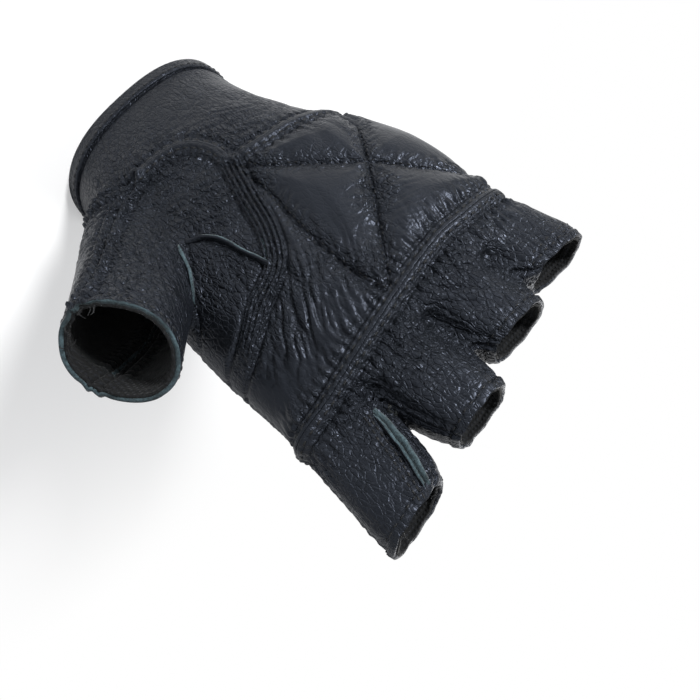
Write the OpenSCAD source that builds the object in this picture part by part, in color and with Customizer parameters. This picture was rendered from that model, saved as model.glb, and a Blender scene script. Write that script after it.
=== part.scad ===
// Right-hand fingerless leather glove, standing on its cuff edge with the finger stalls up.
// X points to the thumb side, -Y is the palm side and Z runs from the cuff to the fingertips.
// The origin is the middle of the cuff edge, on the surface that the glove stands on.

/* [Hand form] */
// Height from the cuff edge to the seam between palm and finger panels
palm_length = 118; // [95:1:145]
// Width across the knuckles
palm_width = 93; // [76:1:115]
// Thickness of the filled glove at the knuckles
knuckle_depth = 29.5; // [24:0.5:36]
// Width of the cuff edge
wrist_width = 69; // [60:1:86]
// Thickness of the filled glove at the cuff edge
wrist_depth = 38; // [34:1:50]

/* [Leather and tape] */
// Thickness of the leather
leather = 1.2; // [0.8:0.1:1.8]
// Thickness of the tape sewn inside each stall opening
tape = 0.8; // [0.5:0.1:1.2]
// Width of the tape sewn inside each stall opening
tape_width = 8; // [5:0.5:12]
// Thickness of the foam under the palm leather
foam = 3; // [2:0.5:5]
// Distance from the foam's edge to the palm seams
foam_margin = 5; // [3:0.5:9]
// Thickness of the binding folded over the cuff edge
binding = 1; // [0.6:0.1:1.4]
// Height of the binding on the cuff
binding_width = 5; // [4:0.5:9]
// Width of the strip over the seam between palm and thumb
band_width = 6; // [4:0.5:8]

/* [Finger stalls] */
// Width of the little finger's opening
little_width = 18.6; // [15:0.2:23]
// Length of the little finger's stall above the palm seam
little_length = 24; // [19:1:32]
// Width of the ring finger's opening
ring_width = 19.6; // [16:0.2:24]
// Length of the ring finger's stall above the palm seam
ring_length = 28.5; // [22:0.5:36]
// Width of the middle finger's opening
middle_width = 19.6; // [16:0.2:24]
// Length of the middle finger's stall above the palm seam
middle_length = 35.5; // [28:0.5:44]
// Width of the index finger's opening
index_width = 20; // [16:0.2:24]
// Length of the index finger's stall above the palm seam
index_length = 39.5; // [31:0.5:48]
// Depth of the finger openings, from palm side to back
stall_depth = 18.8; // [15.6:0.2:23]
// Length of the gap between two stalls, measured down from the shorter stall's edge
crotch_gap = 8; // [6:0.5:12]

/* [Thumb stall] */
// Long axis of the thumb opening
thumb_width = 31.2; // [26:0.2:38]
// Short axis of the thumb opening
thumb_depth = 25.6; // [21:0.2:31]
// Distance from the thumb's knuckle to the opening
thumb_length = 27.5; // [22:0.5:34]

/* [Wrist closure] */
// Width of the slit in the back of the cuff
slit_width = 9; // [5:0.5:14]
// Height of the slit above the cuff edge
slit_height = 44; // [36:1:55]
// Width of the closing tab
tab_width = 24; // [18:1:30]
// Length of the closing tab from its fold to its tip
tab_length = 52; // [43:1:62]
// Height of the tab's lower edge above the cuff edge
tab_height = 10; // [7:1:14]
// Distance from the glove's middle to the tab's fold
tab_fold = 24; // [19:1:28]
// Thickness of the closing tab
tab_leather = 1.6; // [1:0.1:2.4]
// Thickness of each half of the hook-and-loop fastener
patch = 0.9; // [0.6:0.1:1.4]
// Gap left between pieces that move past each other
clearance = 0.3; // [0.2:0.05:0.5]

/* [Hidden] */
ring_n = 32;
big = 250;
past = 3;
body_top = palm_length + 9;
foot = binding;
cuff_top = slit_height + 4;
leather_color = [0.10, 0.10, 0.115];
foam_color = [0.2, 0.2, 0.2];
tape_color = [0.07, 0.07, 0.07];

// Oval cross-sections of the hand

function unit(v) = v / norm(v);
function soft(v, e) = sign(v) * pow(abs(v), e);
function rise(z) = min(1, max(0, z / (0.83 * palm_length)));
function width_at(z) = wrist_width + (palm_width - wrist_width) * pow(sin(90 * rise(z)), 1.8);
function middle_x(z) = 1 + 3.3 * sin(180 * min(1, max(0, z / (0.55 * palm_length))));
function middle_y(z) = -1 - 5 * sin(90 * min(1, max(0, z / (0.6 * palm_length))));
function taper(z) = pow(min(1, max(0, z / palm_length)), 1.3);
// Under 1 the ovals bulge towards a rectangle
squareness = 0.8;
tube_squareness = 0.9;
wrist_front = 0.68;
knuckle_front = 0.49;
function blend_depth(wrist_share, knuckle_share, z) =
  wrist_share * wrist_depth + (knuckle_share * knuckle_depth - wrist_share * wrist_depth) * taper(z);
function front_at(z) = blend_depth(wrist_front, knuckle_front, z);
function back_at(z) = blend_depth(1 - wrist_front, 1 - knuckle_front, z);
function dome(z) = z > palm_length ? 0.13 * (z - palm_length) / (body_top - palm_length) : 0;

function body_ring(z, level, inset) =
  let(half = width_at(z) / 2 - inset, low = 1 - dome(z))
  [for (k = [0 : ring_n - 1])
    let(a = 360 * k / ring_n, depth = sin(a) > 0 ? back_at(z) : front_at(z))
    [middle_x(z) + half * soft(cos(a), squareness),
      middle_y(z) + (depth * low - inset) * soft(sin(a), squareness), level]];

function tube_ring(c, u, v, a, b, inset) =
  [for (k = [0 : ring_n - 1])
    let(t = 360 * k / ring_n)
    c + u * (a - inset) * soft(cos(t), tube_squareness) + v * (b - inset) * soft(sin(t), tube_squareness)];

module loft(rings) {
  n = len(rings[0]);
  m = len(rings);
  sides = [for (i = [0 : m - 2], k = [0 : n - 1]) let(a = i * n + k, b = i * n + (k + 1) % n)
    each [[a, a + n, b + n], [a, b + n, b]]];
  first = [for (k = [0 : n - 1]) k];
  last = [for (k = [n - 1 : -1 : 0]) (m - 1) * n + k];
  polyhedron(points = [for (r = rings) each r], faces = concat([first], sides, [last]));
}

// inset moves the surface inwards, and open lets an end run past the leather's edge
module body_form(inset, open) {
  levels = [for (f = [0.21, 0.38, 0.59, 0.83, 1]) f * palm_length];
  loft(concat(open ? [body_ring(foot, -past, inset)] : [], [body_ring(foot, foot, inset)],
    [for (z = levels) body_ring(z, z, inset)],
    [body_ring(body_top, body_top - inset, inset)]));
}

// Stall rows: width, length, lean at the opening, extra depth

STALLS = [[little_width, little_length, -4, -1.2], [ring_width, ring_length, -2.8, -0.2],
  [middle_width, middle_length, -1.6, 0.5], [index_width, index_length, 6, 0.4]];
stall_sum = STALLS[0][0] + STALLS[1][0] + STALLS[2][0] + STALLS[3][0];
spare = (palm_width + 1 - stall_sum) / 4;
function base_width(i) = STALLS[i][0] + spare;
function edge_before(i) = i == 0 ? -palm_width / 2 + 0.5 : edge_before(i - 1) + base_width(i - 1);
function base_x(i) = edge_before(i) + base_width(i) / 2;
function stall_top(i) = palm_length + STALLS[i][1];
function crotch_z(i) = min(stall_top(max(0, i - 1)), stall_top(i), stall_top(min(3, i + 1))) - crotch_gap;
function stall_y(i) = middle_y(palm_length) + (i == 0 ? 0.8 : i == 3 ? 0.8 : -0.9);

module stall_form(i, inset, open) {
  half = base_width(i) / 2;
  depth = stall_depth / 2 + STALLS[i][3];
  y = stall_y(i);
  top = stall_top(i);
  tip_x = base_x(i) + STALLS[i][2];
  function oval(x, z, a, b) = tube_ring([x, y, z], [1, 0, 0], [0, 1, 0], a, b, inset);
  crotch_x = base_x(i) + 0.4 * STALLS[i][2];
  loft(concat([oval(base_x(i), palm_length - 10, 0.9 * half, depth - 0.5),
    oval(base_x(i), palm_length + 4, half, depth + 1.6),
    oval(crotch_x, crotch_z(i), half, depth + 1), oval(tip_x, top, STALLS[i][0] / 2, depth)],
    open ? [oval(tip_x, top + past, STALLS[i][0] / 2, depth)] : []));
}

// Thumb: a bent tube from inside the heel of the hand to the opening

LONG = unit([-0.48, 0.13, 0.87]);
THUMB_OUT = unit([0.5, -0.75, 0.43]);
THUMB_KNUCKLE = [0.52 * palm_width, -27, 0.54 * palm_length];
THUMB_HEEL = [0.37 * palm_width, -14, 0.356 * palm_length];
THUMB_ROOT = [0.215 * palm_width, -10, 0.205 * palm_length];
THUMB_END = THUMB_KNUCKLE + thumb_length * unit([11, -15, 20.3]);

function thumb_ring(c, n, a, b, inset) =
  let(u = unit(LONG - n * (LONG * n)))
  tube_ring(c, u, cross(n, u), a, b, inset);

module thumb_form(inset, open) {
  a = thumb_width / 2;
  b = thumb_depth / 2;
  loft(concat([thumb_ring(THUMB_ROOT, unit([0.6, -0.2, 0.77]), a + 0.4, b + 1.2, inset),
    thumb_ring(THUMB_HEEL, unit([0.6, -0.3, 0.74]), a + 2.6, b + 3, inset),
    thumb_ring(THUMB_KNUCKLE, unit([0.45, -0.62, 0.64]), a + 0.6, b + 1.8, inset),
    thumb_ring(THUMB_END, THUMB_OUT, a, b, inset)],
    open ? [thumb_ring(THUMB_END + past * THUMB_OUT, THUMB_OUT, a, b, inset)] : []));
}

module hand_form(inset, open) {
  body_form(inset, open);
  for (i = [0 : 3]) stall_form(i, inset, open);
  thumb_form(inset, open);
}

// A layer between two depths below the glove's outer surface
module layer(outer, inner) {
  difference() {
    hand_form(outer, false);
    hand_form(inner, true);
  }
}

// Regions that cut the layer into panels

// A flat outline in X and Z, carried through from y0 to y1
module through_y(outline, y0 = -big, y1 = big) {
  translate([0, y1, 0]) rotate([90, 0, 0]) linear_extrude(y1 - y0) polygon(outline);
}

// The palm side of the side seams
module palm_side() {
  rotate([90, 0, 90]) translate([0, 0, -big]) linear_extrude(2 * big)
    polygon([[-big, -big], [middle_y(0), -big], [middle_y(0), 0], [middle_y(palm_length), 0.6 * palm_length],
      [middle_y(palm_length), big], [-big, big]]);
}

// The side of a plane that its normal points to
module half_space(p, n) {
  translate(p) rotate([0, acos(n[2] / norm(n)), atan2(n[1], n[0])]) translate([-big, -big, 0]) cube(2 * big);
}

function px(f) = f * palm_width;
function pz(f) = f * palm_length;
// Seam outlines on the palm, as parts of the palm's width and length
JUNCTION = [px(-0.011), pz(0.45)];
FINGER_SEAM = [[px(-0.55), pz(0.978)], [px(-0.33), pz(0.982)], [px(-0.2), pz(0.982)], [px(0), pz(1)],
  [px(0.15), pz(1.017)], [px(0.55), pz(1.045)]];
CUFF_SEAM = [[px(-0.55), pz(0.5)], [px(-0.25), pz(0.475)], [px(-0.13), pz(0.462)], JUNCTION, [px(0.6), pz(0.45)]];
THUMB_ARC = [[px(0.2), pz(0.265)], [px(0.11), pz(0.27)], [px(0.032), pz(0.315)], [px(-0.005), pz(0.385)],
  JUNCTION];
BAND_TOP = [JUNCTION, [px(0.043), pz(0.56)], [px(0.097), pz(0.66)], [px(0.172), pz(0.74)]];
BAND_LOW = [[px(0.172), pz(0.74)], [px(0.28), pz(0.765)], [px(0.4), pz(0.805)], [px(0.6), pz(0.83)]];
WEB_TOP = [[px(0.172), pz(0.74)], [px(0.205), pz(0.62)], [px(0.27), pz(0.51)]];
WEB_SIDE = [[px(0.27), pz(0.51)], [px(0.37), pz(0.615)], [px(0.45), pz(0.65)], [px(0.53), pz(0.685)]];
HEEL_SIDE = [[px(0.9), pz(0.12)], [px(0.37), pz(0.2)]];
CROTCH_AT = [px(0.473), -18.9, pz(0.674)];
CROTCH_FACE = [-0.45, 0.85, 0.25];
THUMB_SPLIT_AT = [px(0.2), -26, pz(0.265)];
THUMB_SPLIT = [-0.466, -0.87, 0.163];

module above(line) {
  n = len(line) - 1;
  through_y(concat([[-big, line[0][1]]], line, [[big, line[n][1]], [big, big], [-big, big]]));
}

module thumb_zone() {
  through_y(concat(THUMB_ARC, BAND_TOP, WEB_TOP, WEB_SIDE, [[big, pz(0.685)], [big, pz(0.12)]], HEEL_SIDE));
  difference() {
    through_y([[px(0.2), pz(0.5)], [big, pz(0.5)], [big, big], [px(0.2), big]]);
    beside_thumb();
  }
}

// The side of the thumb's crotch that the palm is on
module beside_thumb() { half_space(CROTCH_AT, CROTCH_FACE); }

module gusset_zone() {
  low = [for (i = [3 : -1 : 1]) BAND_LOW[i]];
  intersection() {
    beside_thumb();
    through_y(concat(WEB_TOP, WEB_SIDE, [[big, pz(0.685)], [big, pz(0.83)]], low));
  }
}

module band_zone() {
  line = concat(BAND_TOP, [for (i = [1 : 3]) BAND_LOW[i]]);
  intersection() {
    beside_thumb();
    translate([0, big, 0]) rotate([90, 0, 0]) linear_extrude(2 * big)
      for (i = [0 : len(line) - 2]) hull() {
        translate(line[i]) circle(d = band_width, $fn = 16);
        translate(line[i + 1]) circle(d = band_width, $fn = 16);
      }
  }
}

// The walls between stall i and stall i + 1
module fourchette_zone(i) {
  reach = stall_depth / 3;
  join = edge_before(i + 1);
  lean = STALLS[i][2] + STALLS[i + 1][2];
  top = palm_length + 60;
  z0 = pz(1.045) + 1;
  w = min(base_width(i), base_width(i + 1)) / 3;
  through_y([[join - w, z0], [join + w, z0], [join + w + 1, crotch_z(i)], [base_x(i + 1) + STALLS[i + 1][2], top],
    [base_x(i) + STALLS[i][2], top], [join - w - 1, crotch_z(i)]], middle_y(big) - reach, middle_y(big) + reach);
}

module slit_zone() {
  r = slit_width / 2;
  straight = slit_height - r;
  translate([middle_x(0) - r, 0, -big]) cube([slit_width, big, big + straight]);
  translate([middle_x(0), big, straight]) rotate([90, 0, 0]) cylinder(h = big, r = r, $fn = 32);
}

module fourchettes() { for (i = [0 : 2]) fourchette_zone(i); }

// Leather panels

// The leather of the palm side, cut to the outlines given
module palm_leather() {
  intersection() {
    layer(0, leather);
    palm_side();
    children();
  }
}

module palm_panel() {
  color(leather_color) difference() {
    palm_leather() above(CUFF_SEAM);
    above(FINGER_SEAM);
    thumb_zone();
    gusset_zone();
    band_zone();
  }
}

module heel_panel() {
  color(leather_color) difference() {
    intersection() {
      layer(0, leather);
      palm_side();
    }
    above(CUFF_SEAM);
    thumb_zone();
    gusset_zone();
    band_zone();
  }
}

module finger_panel() {
  color(leather_color) difference() {
    palm_leather() above(FINGER_SEAM);
    fourchettes();
  }
}

module thumb_shell() {
  difference() {
    palm_leather() thumb_zone();
    gusset_zone();
    band_zone();
  }
}

module thumb_front() {
  color(leather_color) intersection() {
    thumb_shell();
    half_space(THUMB_SPLIT_AT, THUMB_SPLIT);
  }
}

module thumb_back() {
  color(leather_color) intersection() {
    thumb_shell();
    half_space(THUMB_SPLIT_AT, -THUMB_SPLIT);
  }
}

module thumb_gusset() {
  color(leather_color) difference() {
    palm_leather() gusset_zone();
    band_zone();
  }
}

module thumb_band() { color(leather_color) palm_leather() band_zone(); }

module back_panel() {
  color(leather_color) difference() {
    layer(0, leather);
    palm_side();
    fourchettes();
    translate([-big, -big, -big]) cube([2 * big, 2 * big, big + cuff_top]);
  }
}

module cuff_back(side) {
  difference() {
    intersection() {
      layer(0, leather);
      translate([side > 0 ? middle_x(0) : middle_x(0) - big, -big, 0]) cube([big, 2 * big, cuff_top]);
    }
    palm_side();
    slit_zone();
  }
}

module cuff_back_thumb_side() { color(leather_color) cuff_back(1); }

module cuff_back_little_side() { color(leather_color) cuff_back(-1); }

module fourchette(i) {
  intersection() {
    layer(0, leather);
    fourchette_zone(i);
  }
}

module fourchette_little_ring() { color(leather_color) fourchette(0); }

module fourchette_ring_middle() { color(leather_color) fourchette(1); }

module fourchette_middle_index() { color(leather_color) fourchette(2); }

// Foam, tapes and binding

module palm_foam() {
  color(foam_color) intersection() {
    layer(leather, leather + foam);
    palm_side();
    through_y([[px(-0.36), pz(0.5) + foam_margin], [px(-0.02), pz(0.46) + foam_margin],
      [px(0.2), pz(0.8) + foam_margin], [px(0.4), pz(0.86) + foam_margin], [px(0.42), pz(1.03) - foam_margin],
      [px(0.1), pz(1) - foam_margin], [px(-0.36), pz(0.97) - foam_margin]]);
  }
}

module hem_tape(i) {
  color(tape_color) intersection() {
    difference() {
      stall_form(i, leather, false);
      stall_form(i, leather + tape, true);
    }
    translate([-big, -big, stall_top(i) - tape_width]) cube([2 * big, 2 * big, tape_width]);
  }
}

module little_hem_tape() { hem_tape(0); }

module ring_hem_tape() { hem_tape(1); }

module middle_hem_tape() { hem_tape(2); }

module index_hem_tape() { hem_tape(3); }

module thumb_hem_tape() {
  color(tape_color) intersection() {
    difference() {
      thumb_form(leather, false);
      thumb_form(leather + tape, true);
    }
    half_space(THUMB_END - tape_width * THUMB_OUT, THUMB_OUT);
  }
}

module wrist_binding() {
  color(leather_color) difference() {
    intersection() {
      body_form(-binding, true);
      translate([-big, -big, 0]) cube([2 * big, 2 * big, binding_width]);
    }
    body_form(leather + binding, true);
    difference() {
      body_form(0, true);
      body_form(leather, true);
      translate([-big, -big, -big]) cube([2 * big, 2 * big, big + foot]);
    }
    slit_zone();
  }
}

// Closing tab on the back of the cuff, from its sewn end on the little finger's side

FOLD_X = middle_x(0) - tab_fold;
LOOP_TOP = patch;
HOOK_LOW = LOOP_TOP + clearance;
TAB_LOW = HOOK_LOW + patch;
TAB_TOP = TAB_LOW + tab_leather;

module tab_layer(low, high) {
  difference() {
    body_form(-high, true);
    body_form(-low, true);
    palm_side();
  }
}

module tab_strip(x0, x1, z0, z1) {
  r = (z1 - z0) / 2;
  translate([0, big, 0]) rotate([90, 0, 0]) linear_extrude(big) {
    translate([x0, z0]) square([x1 - x0 - r, z1 - z0]);
    translate([x1 - r, z0 + r]) circle(r, $fn = 48);
  }
}

module closure_tab() {
  color(leather_color) intersection() {
    tab_layer(TAB_LOW, TAB_TOP);
    tab_strip(FOLD_X, FOLD_X + tab_length, tab_height, tab_height + tab_width);
  }
}

module tab_sewn_end() {
  riser = 2.5;
  sewn = 7;
  end = FOLD_X - clearance;
  color(leather_color) {
    intersection() {
      tab_layer(0, TAB_TOP);
      translate([end - riser, 0, tab_height]) cube([riser, big, tab_width]);
    }
    intersection() {
      tab_layer(0, tab_leather);
      translate([end - riser - sewn, 0, tab_height]) cube([sewn, big, tab_width]);
    }
  }
}

module patch_strip() {
  edge = 2;
  r = tab_width / 2;
  tip = FOLD_X + tab_length - r + sqrt(r * r - (r - edge) * (r - edge)) - edge / 2;
  x0 = middle_x(0) + slit_width / 2 + edge;
  translate([0, big, 0]) rotate([90, 0, 0]) linear_extrude(big)
    translate([x0, tab_height + edge]) square([tip - x0, tab_width - 2 * edge]);
}

module hook_patch() {
  color(tape_color) intersection() {
    tab_layer(HOOK_LOW, TAB_LOW);
    patch_strip();
  }
}

module loop_patch() {
  color(tape_color) intersection() {
    tab_layer(0, LOOP_TOP);
    patch_strip();
  }
}

palm_panel();
palm_foam();
heel_panel();
finger_panel();
thumb_front();
thumb_back();
thumb_gusset();
thumb_band();
back_panel();
cuff_back_thumb_side();
cuff_back_little_side();
fourchette_little_ring();
fourchette_ring_middle();
fourchette_middle_index();
little_hem_tape();
ring_hem_tape();
middle_hem_tape();
index_hem_tape();
thumb_hem_tape();
wrist_binding();
tab_sewn_end();
closure_tab();
hook_patch();
loop_patch();
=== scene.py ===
# %% [markdown]
# # A fingerless leather glove, sewn panel by panel
# The glove is a right-hand one, standing on its cuff with the finger stalls up, as if a hand still filled it.
# A real glove is flat leather that takes its shape from the seams and from the hand inside.
# So this script first makes the smooth form of the gloved hand, then cuts that skin along the seam lines,
# and gives every cut-out panel its own leather thickness. Because neighbours come from one skin, their edges
# meet exactly, as two sewn edges do.

# %% Load the frame
import math
import random

import bmesh
import bpy
import numpy as np
from mathutils import Matrix, Vector, noise
from mathutils.bvhtree import BVHTree
from mathutils.kdtree import KDTree


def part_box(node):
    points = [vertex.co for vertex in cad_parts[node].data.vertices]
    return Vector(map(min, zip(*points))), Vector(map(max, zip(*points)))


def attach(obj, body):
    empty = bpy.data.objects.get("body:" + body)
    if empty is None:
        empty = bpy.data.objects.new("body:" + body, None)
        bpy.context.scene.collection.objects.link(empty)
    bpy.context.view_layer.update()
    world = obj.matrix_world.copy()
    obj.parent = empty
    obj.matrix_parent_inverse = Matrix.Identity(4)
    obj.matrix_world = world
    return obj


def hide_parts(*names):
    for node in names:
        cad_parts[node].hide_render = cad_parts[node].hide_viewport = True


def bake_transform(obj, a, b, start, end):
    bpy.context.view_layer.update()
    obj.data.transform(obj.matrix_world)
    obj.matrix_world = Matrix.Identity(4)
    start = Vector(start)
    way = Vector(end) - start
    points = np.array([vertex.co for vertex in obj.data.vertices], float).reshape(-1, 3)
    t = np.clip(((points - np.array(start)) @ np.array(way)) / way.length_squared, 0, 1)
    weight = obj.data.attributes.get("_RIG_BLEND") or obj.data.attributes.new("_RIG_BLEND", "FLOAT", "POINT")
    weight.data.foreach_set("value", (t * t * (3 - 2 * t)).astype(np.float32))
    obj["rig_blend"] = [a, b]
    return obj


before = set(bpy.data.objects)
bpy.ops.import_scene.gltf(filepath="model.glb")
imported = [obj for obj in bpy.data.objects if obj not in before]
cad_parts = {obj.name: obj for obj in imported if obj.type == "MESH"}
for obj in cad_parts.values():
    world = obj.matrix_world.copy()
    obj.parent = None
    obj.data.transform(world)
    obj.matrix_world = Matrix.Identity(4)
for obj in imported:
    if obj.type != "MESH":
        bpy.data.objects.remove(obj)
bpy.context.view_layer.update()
MM = 0.001
VOXEL = 0.85 * MM

# %% [markdown]
# ## The camera
# The glove is seen from the palm side, from a little above the fingertips' height, with the camera rolled so that
# the fingers point down to the right. A camera could be aimed with a constraint, but three directions written
# out say the same thing and never change when something else moves.


# %% Camera
def aim_camera(place, right, forward, view_angle):
    """Stand the camera at a place in mm, looking along forward, with right towards the picture's right edge."""
    forward = Vector(forward).normalized()
    right = (Vector(right) - Vector(right).dot(forward) * forward).normalized()
    up = right.cross(forward)
    lens = bpy.data.cameras.new("palm_view")
    lens.sensor_width = 36
    lens.lens = lens.sensor_width / 2 / math.tan(view_angle / 2)
    lens.clip_start = 0.01
    camera = bpy.data.objects.new("palm_view", lens)
    bpy.context.collection.objects.link(camera)
    camera.matrix_world = Matrix.Translation(Vector(place)
                                             * MM) @ Matrix((right, up, -forward)).transposed().to_4x4()
    bpy.context.scene.camera = camera
    return camera


VIEW_ANGLE = math.radians(56.54)
aim_camera((50.8, -170.8, 186.9), (-0.658, 0.196, 0.727), (-0.181, 0.896, -0.405), VIEW_ANGLE)

# %% [markdown]
# ## The form of the hand
# The body of the glove is a tube of ovals, wide at the knuckles and narrower at the wrist. Each finger stall and
# the thumb stall is a shorter tube. They could be sculpted by hand, but a circle that is extruded from ring to
# ring keeps every size readable. Everything in this part is in millimetres until the form is whole.

# %% Sizes of the form
PALM_LENGTH, PALM_WIDTH, KNUCKLE_DEPTH = 118, 93, 29.5
WRIST_WIDTH, WRIST_DEPTH = 69, 38
LEATHER, TAPE, TAPE_WIDTH = 1.2, 0.8, 8
STALL_DEPTH = 18.8
# Each stall: width, length above the palm seam, lean at its opening, extra depth, slant of its edge
STALLS = {
    "little": (18.6, 24, -4, -1.2, -0.1),
    "ring": (19.6, 28.5, -2.8, -0.2, -0.04),
    "middle": (19.6, 35.5, -1.6, 0.5, 0.03),
    "index": (20, 39.5, 6, 0.4, 0.1),
}
THUMB_LONG = Vector((-0.48, 0.13, 0.87)).normalized()
THUMB_OUT = Vector((0.5, -0.75, 0.43)).normalized()
THUMB_END = Vector((59.4, -42, 84))
RING_POINTS = 72
BEYOND = 4


def clamp01(value):
    return np.clip(value, 0.0, 1.0)


def smooth_line(points, pieces=8):
    """A smooth line through given points of any dimension (Catmull-Rom), with pieces steps between two."""
    p = np.array([2 * np.array(points[0]) - points[1], *points, 2 * np.array(points[-1]) - points[-2]],
                 float)
    t = np.linspace(0, 1, pieces, endpoint=False)[:, None]
    rows = []
    for a, b, c, d in zip(p, p[1:], p[2:], p[3:]):
        rows.append(0.5 * (2 * b + (c - a) * t + (2 * a - 5 * b + 4 * c - d) * t**2
                           + (3 * b - a - 3 * c + d) * t**3))
    return np.vstack([*rows, p[-2]])


# %% [markdown]
# ### From a circle to a tube
# `create_circle` makes the first ring, and each `extrude_edge_only` grows the next one. Every vertex remembers its
# angle in a layer of its own, which extrusion copies, so a ring is placed by asking where that angle lies.


# %% Loft
def loft(bm, rings):
    """Grow a closed tube through rings, each a function from an angle to a place."""
    turn = bm.verts.layers.float["turn"]
    ring = bmesh.ops.create_circle(bm, segments=RING_POINTS, radius=1)["verts"]
    for v in ring:
        v[turn] = math.atan2(v.co.y, v.co.x)
        v.co = rings[0](v[turn])
    edges = list({e for v in ring for e in v.link_edges})
    bmesh.ops.edgeloop_fill(bm, edges=edges)
    for place in rings[1:]:
        grown = bmesh.ops.extrude_edge_only(bm, edges=edges)["geom"]
        ring = {v for v in grown if isinstance(v, bmesh.types.BMVert)}
        for v in ring:
            v.co = place(v[turn])
        edges = list({e for v in ring for e in v.link_edges if e.other_vert(v) in ring})
    bmesh.ops.edgeloop_fill(bm, edges=edges)


def soft(value, square):
    """A cosine or sine pushed outwards, which turns a circle into a squarer oval."""
    return math.copysign(abs(value) ** square, value)


def body_ring(z):
    """The hand's oval at height z: its back is flatter than its palm side, and the wrist is rounder."""
    at = max(z, 0)
    rise = min(1, at / (0.83 * PALM_LENGTH))
    half = (WRIST_WIDTH + (PALM_WIDTH - WRIST_WIDTH) * math.sin(math.pi / 2 * rise) ** 1.8) / 2
    x = 1 + 3.3 * math.sin(math.pi * min(1, at / (0.55 * PALM_LENGTH)))
    y = -1 - 5 * math.sin(math.pi / 2 * min(1, at / (0.6 * PALM_LENGTH)))
    taper = min(1, at / PALM_LENGTH) ** 1.3
    front = 0.68 * WRIST_DEPTH + (0.49 * KNUCKLE_DEPTH - 0.68 * WRIST_DEPTH) * taper
    back = 0.32 * WRIST_DEPTH + (0.51 * KNUCKLE_DEPTH - 0.32 * WRIST_DEPTH) * taper
    low = 1 - 0.13 * clamp01((at - PALM_LENGTH) / 9)

    def place(angle):
        deep = (back if math.sin(angle) > 0 else front) * low
        return Vector((x + half * soft(math.cos(angle), 0.8), y + deep * soft(math.sin(angle), 0.8), z))

    return place


def tube_ring(centre, out, long_way, a, b, square=0.9):
    """An oval around centre, facing out, with half axis a along long_way and b across it."""
    u = (long_way - out * long_way.dot(out)).normalized()
    v = out.cross(u)
    return lambda angle: centre + u * a * soft(math.cos(angle), square) + v * b * soft(math.sin(angle),
                                                                                       square)


# %% Stall and thumb stations
MIDDLE_Y = -6
CROTCH_GAP = 4.5
spare = (PALM_WIDTH + 1 - sum(s[0] for s in STALLS.values())) / 4
STALL_LINE = {}
STALL_TOP = {name: PALM_LENGTH + s[1] for name, s in STALLS.items()}
tops = list(STALL_TOP.values())
edge_x = 0.5 - PALM_WIDTH / 2
for i, (name, (width, length, lean, extra, slant)) in enumerate(STALLS.items()):
    half = (width + spare) / 2
    x = edge_x + half
    edge_x += 2 * half
    y = MIDDLE_Y + (0.8 if i in (0, 3) else -0.9)
    deep = STALL_DEPTH / 2 + extra
    crotch = min(tops[max(0, i - 1) : i + 2]) - CROTCH_GAP
    top = STALL_TOP[name]
    # Rows of x, y, z, half width, half depth, squareness
    STALL_LINE[name] = smooth_line([
        (x, y, PALM_LENGTH - 10, 0.9 * half, deep - 0.5, 0.9),
        (x, y, PALM_LENGTH + 4, half, deep + 1.6, 0.6),
        (x + 0.5 * lean, y, crotch, half + 0.3, deep + 0.8, 0.62),
        (x + lean, y, top, width / 2, deep, 0.8),
        (x + 1.25 * lean, y, top + BEYOND, width / 2, deep, 0.8),
    ])

THUMB_LINE = smooth_line([
    (20, -10, 24.2, 0.6, -0.2, 0.77, 16, 14),
    (34.4, -14, 42, 0.6, -0.3, 0.74, 18.2, 15.8),
    (48.4, -27, 63.7, 0.45, -0.62, 0.64, 16.2, 14.6),
    (*THUMB_END, *THUMB_OUT, 15.6, 12.8),
    (*(THUMB_END + BEYOND * THUMB_OUT), *THUMB_OUT, 15.6, 12.8),
])

# %% The five tubes and the body in one mesh
form = bmesh.new()
form.verts.layers.float.new("turn")
loft(form, [body_ring(z) for z in np.linspace(-BEYOND, PALM_LENGTH + 9, 45)])
for line in STALL_LINE.values():
    loft(form, [tube_ring(Vector(s[:3]), Vector((0, 0, 1)), Vector((1, 0, 0)), *s[3:6]) for s in line])
loft(form, [tube_ring(Vector(s[:3]), Vector(s[3:6]).normalized(), THUMB_LONG, s[6], s[7])
            for s in THUMB_LINE])
bmesh.ops.recalc_face_normals(form, faces=form.faces)
bmesh.ops.scale(form, vec=(MM, MM, MM), verts=form.verts)
print("form:", len(form.faces), "faces in", 2 + len(STALL_LINE), "tubes")

# %% [markdown]
# ### One skin
# Six closed tubes that run into each other aren't a skin yet. A boolean union would leave sharp creases where
# they meet. A voxel remesh melts them into one even net of small squares, and a little smoothing rounds the
# crotches between the fingers as stretched leather does.


# %% Remesh
def new_object(name, mesh):
    made = bpy.data.objects.new(name, mesh)
    bpy.context.collection.objects.link(made)
    return made


def with_modifiers(obj, name):
    """A new mesh with the object's modifiers applied; the object itself is removed."""
    bpy.context.view_layer.update()
    graph = bpy.context.evaluated_depsgraph_get()
    mesh = bpy.data.meshes.new_from_object(obj.evaluated_get(graph))
    mesh.name = name
    old = obj.data
    bpy.data.objects.remove(obj)
    bpy.data.meshes.remove(old)
    return mesh


mesh = bpy.data.meshes.new("form")
form.to_mesh(mesh)
form.free()
work = new_object("form", mesh)
remesh = work.modifiers.new("one_skin", "REMESH")
remesh.mode = "VOXEL"
remesh.voxel_size = VOXEL
relax = work.modifiers.new("relax", "SMOOTH")
relax.factor = 0.5
relax.iterations = 14
skin_mesh = with_modifiers(work, "skin")
print("skin:", len(skin_mesh.polygons), "faces")
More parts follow.
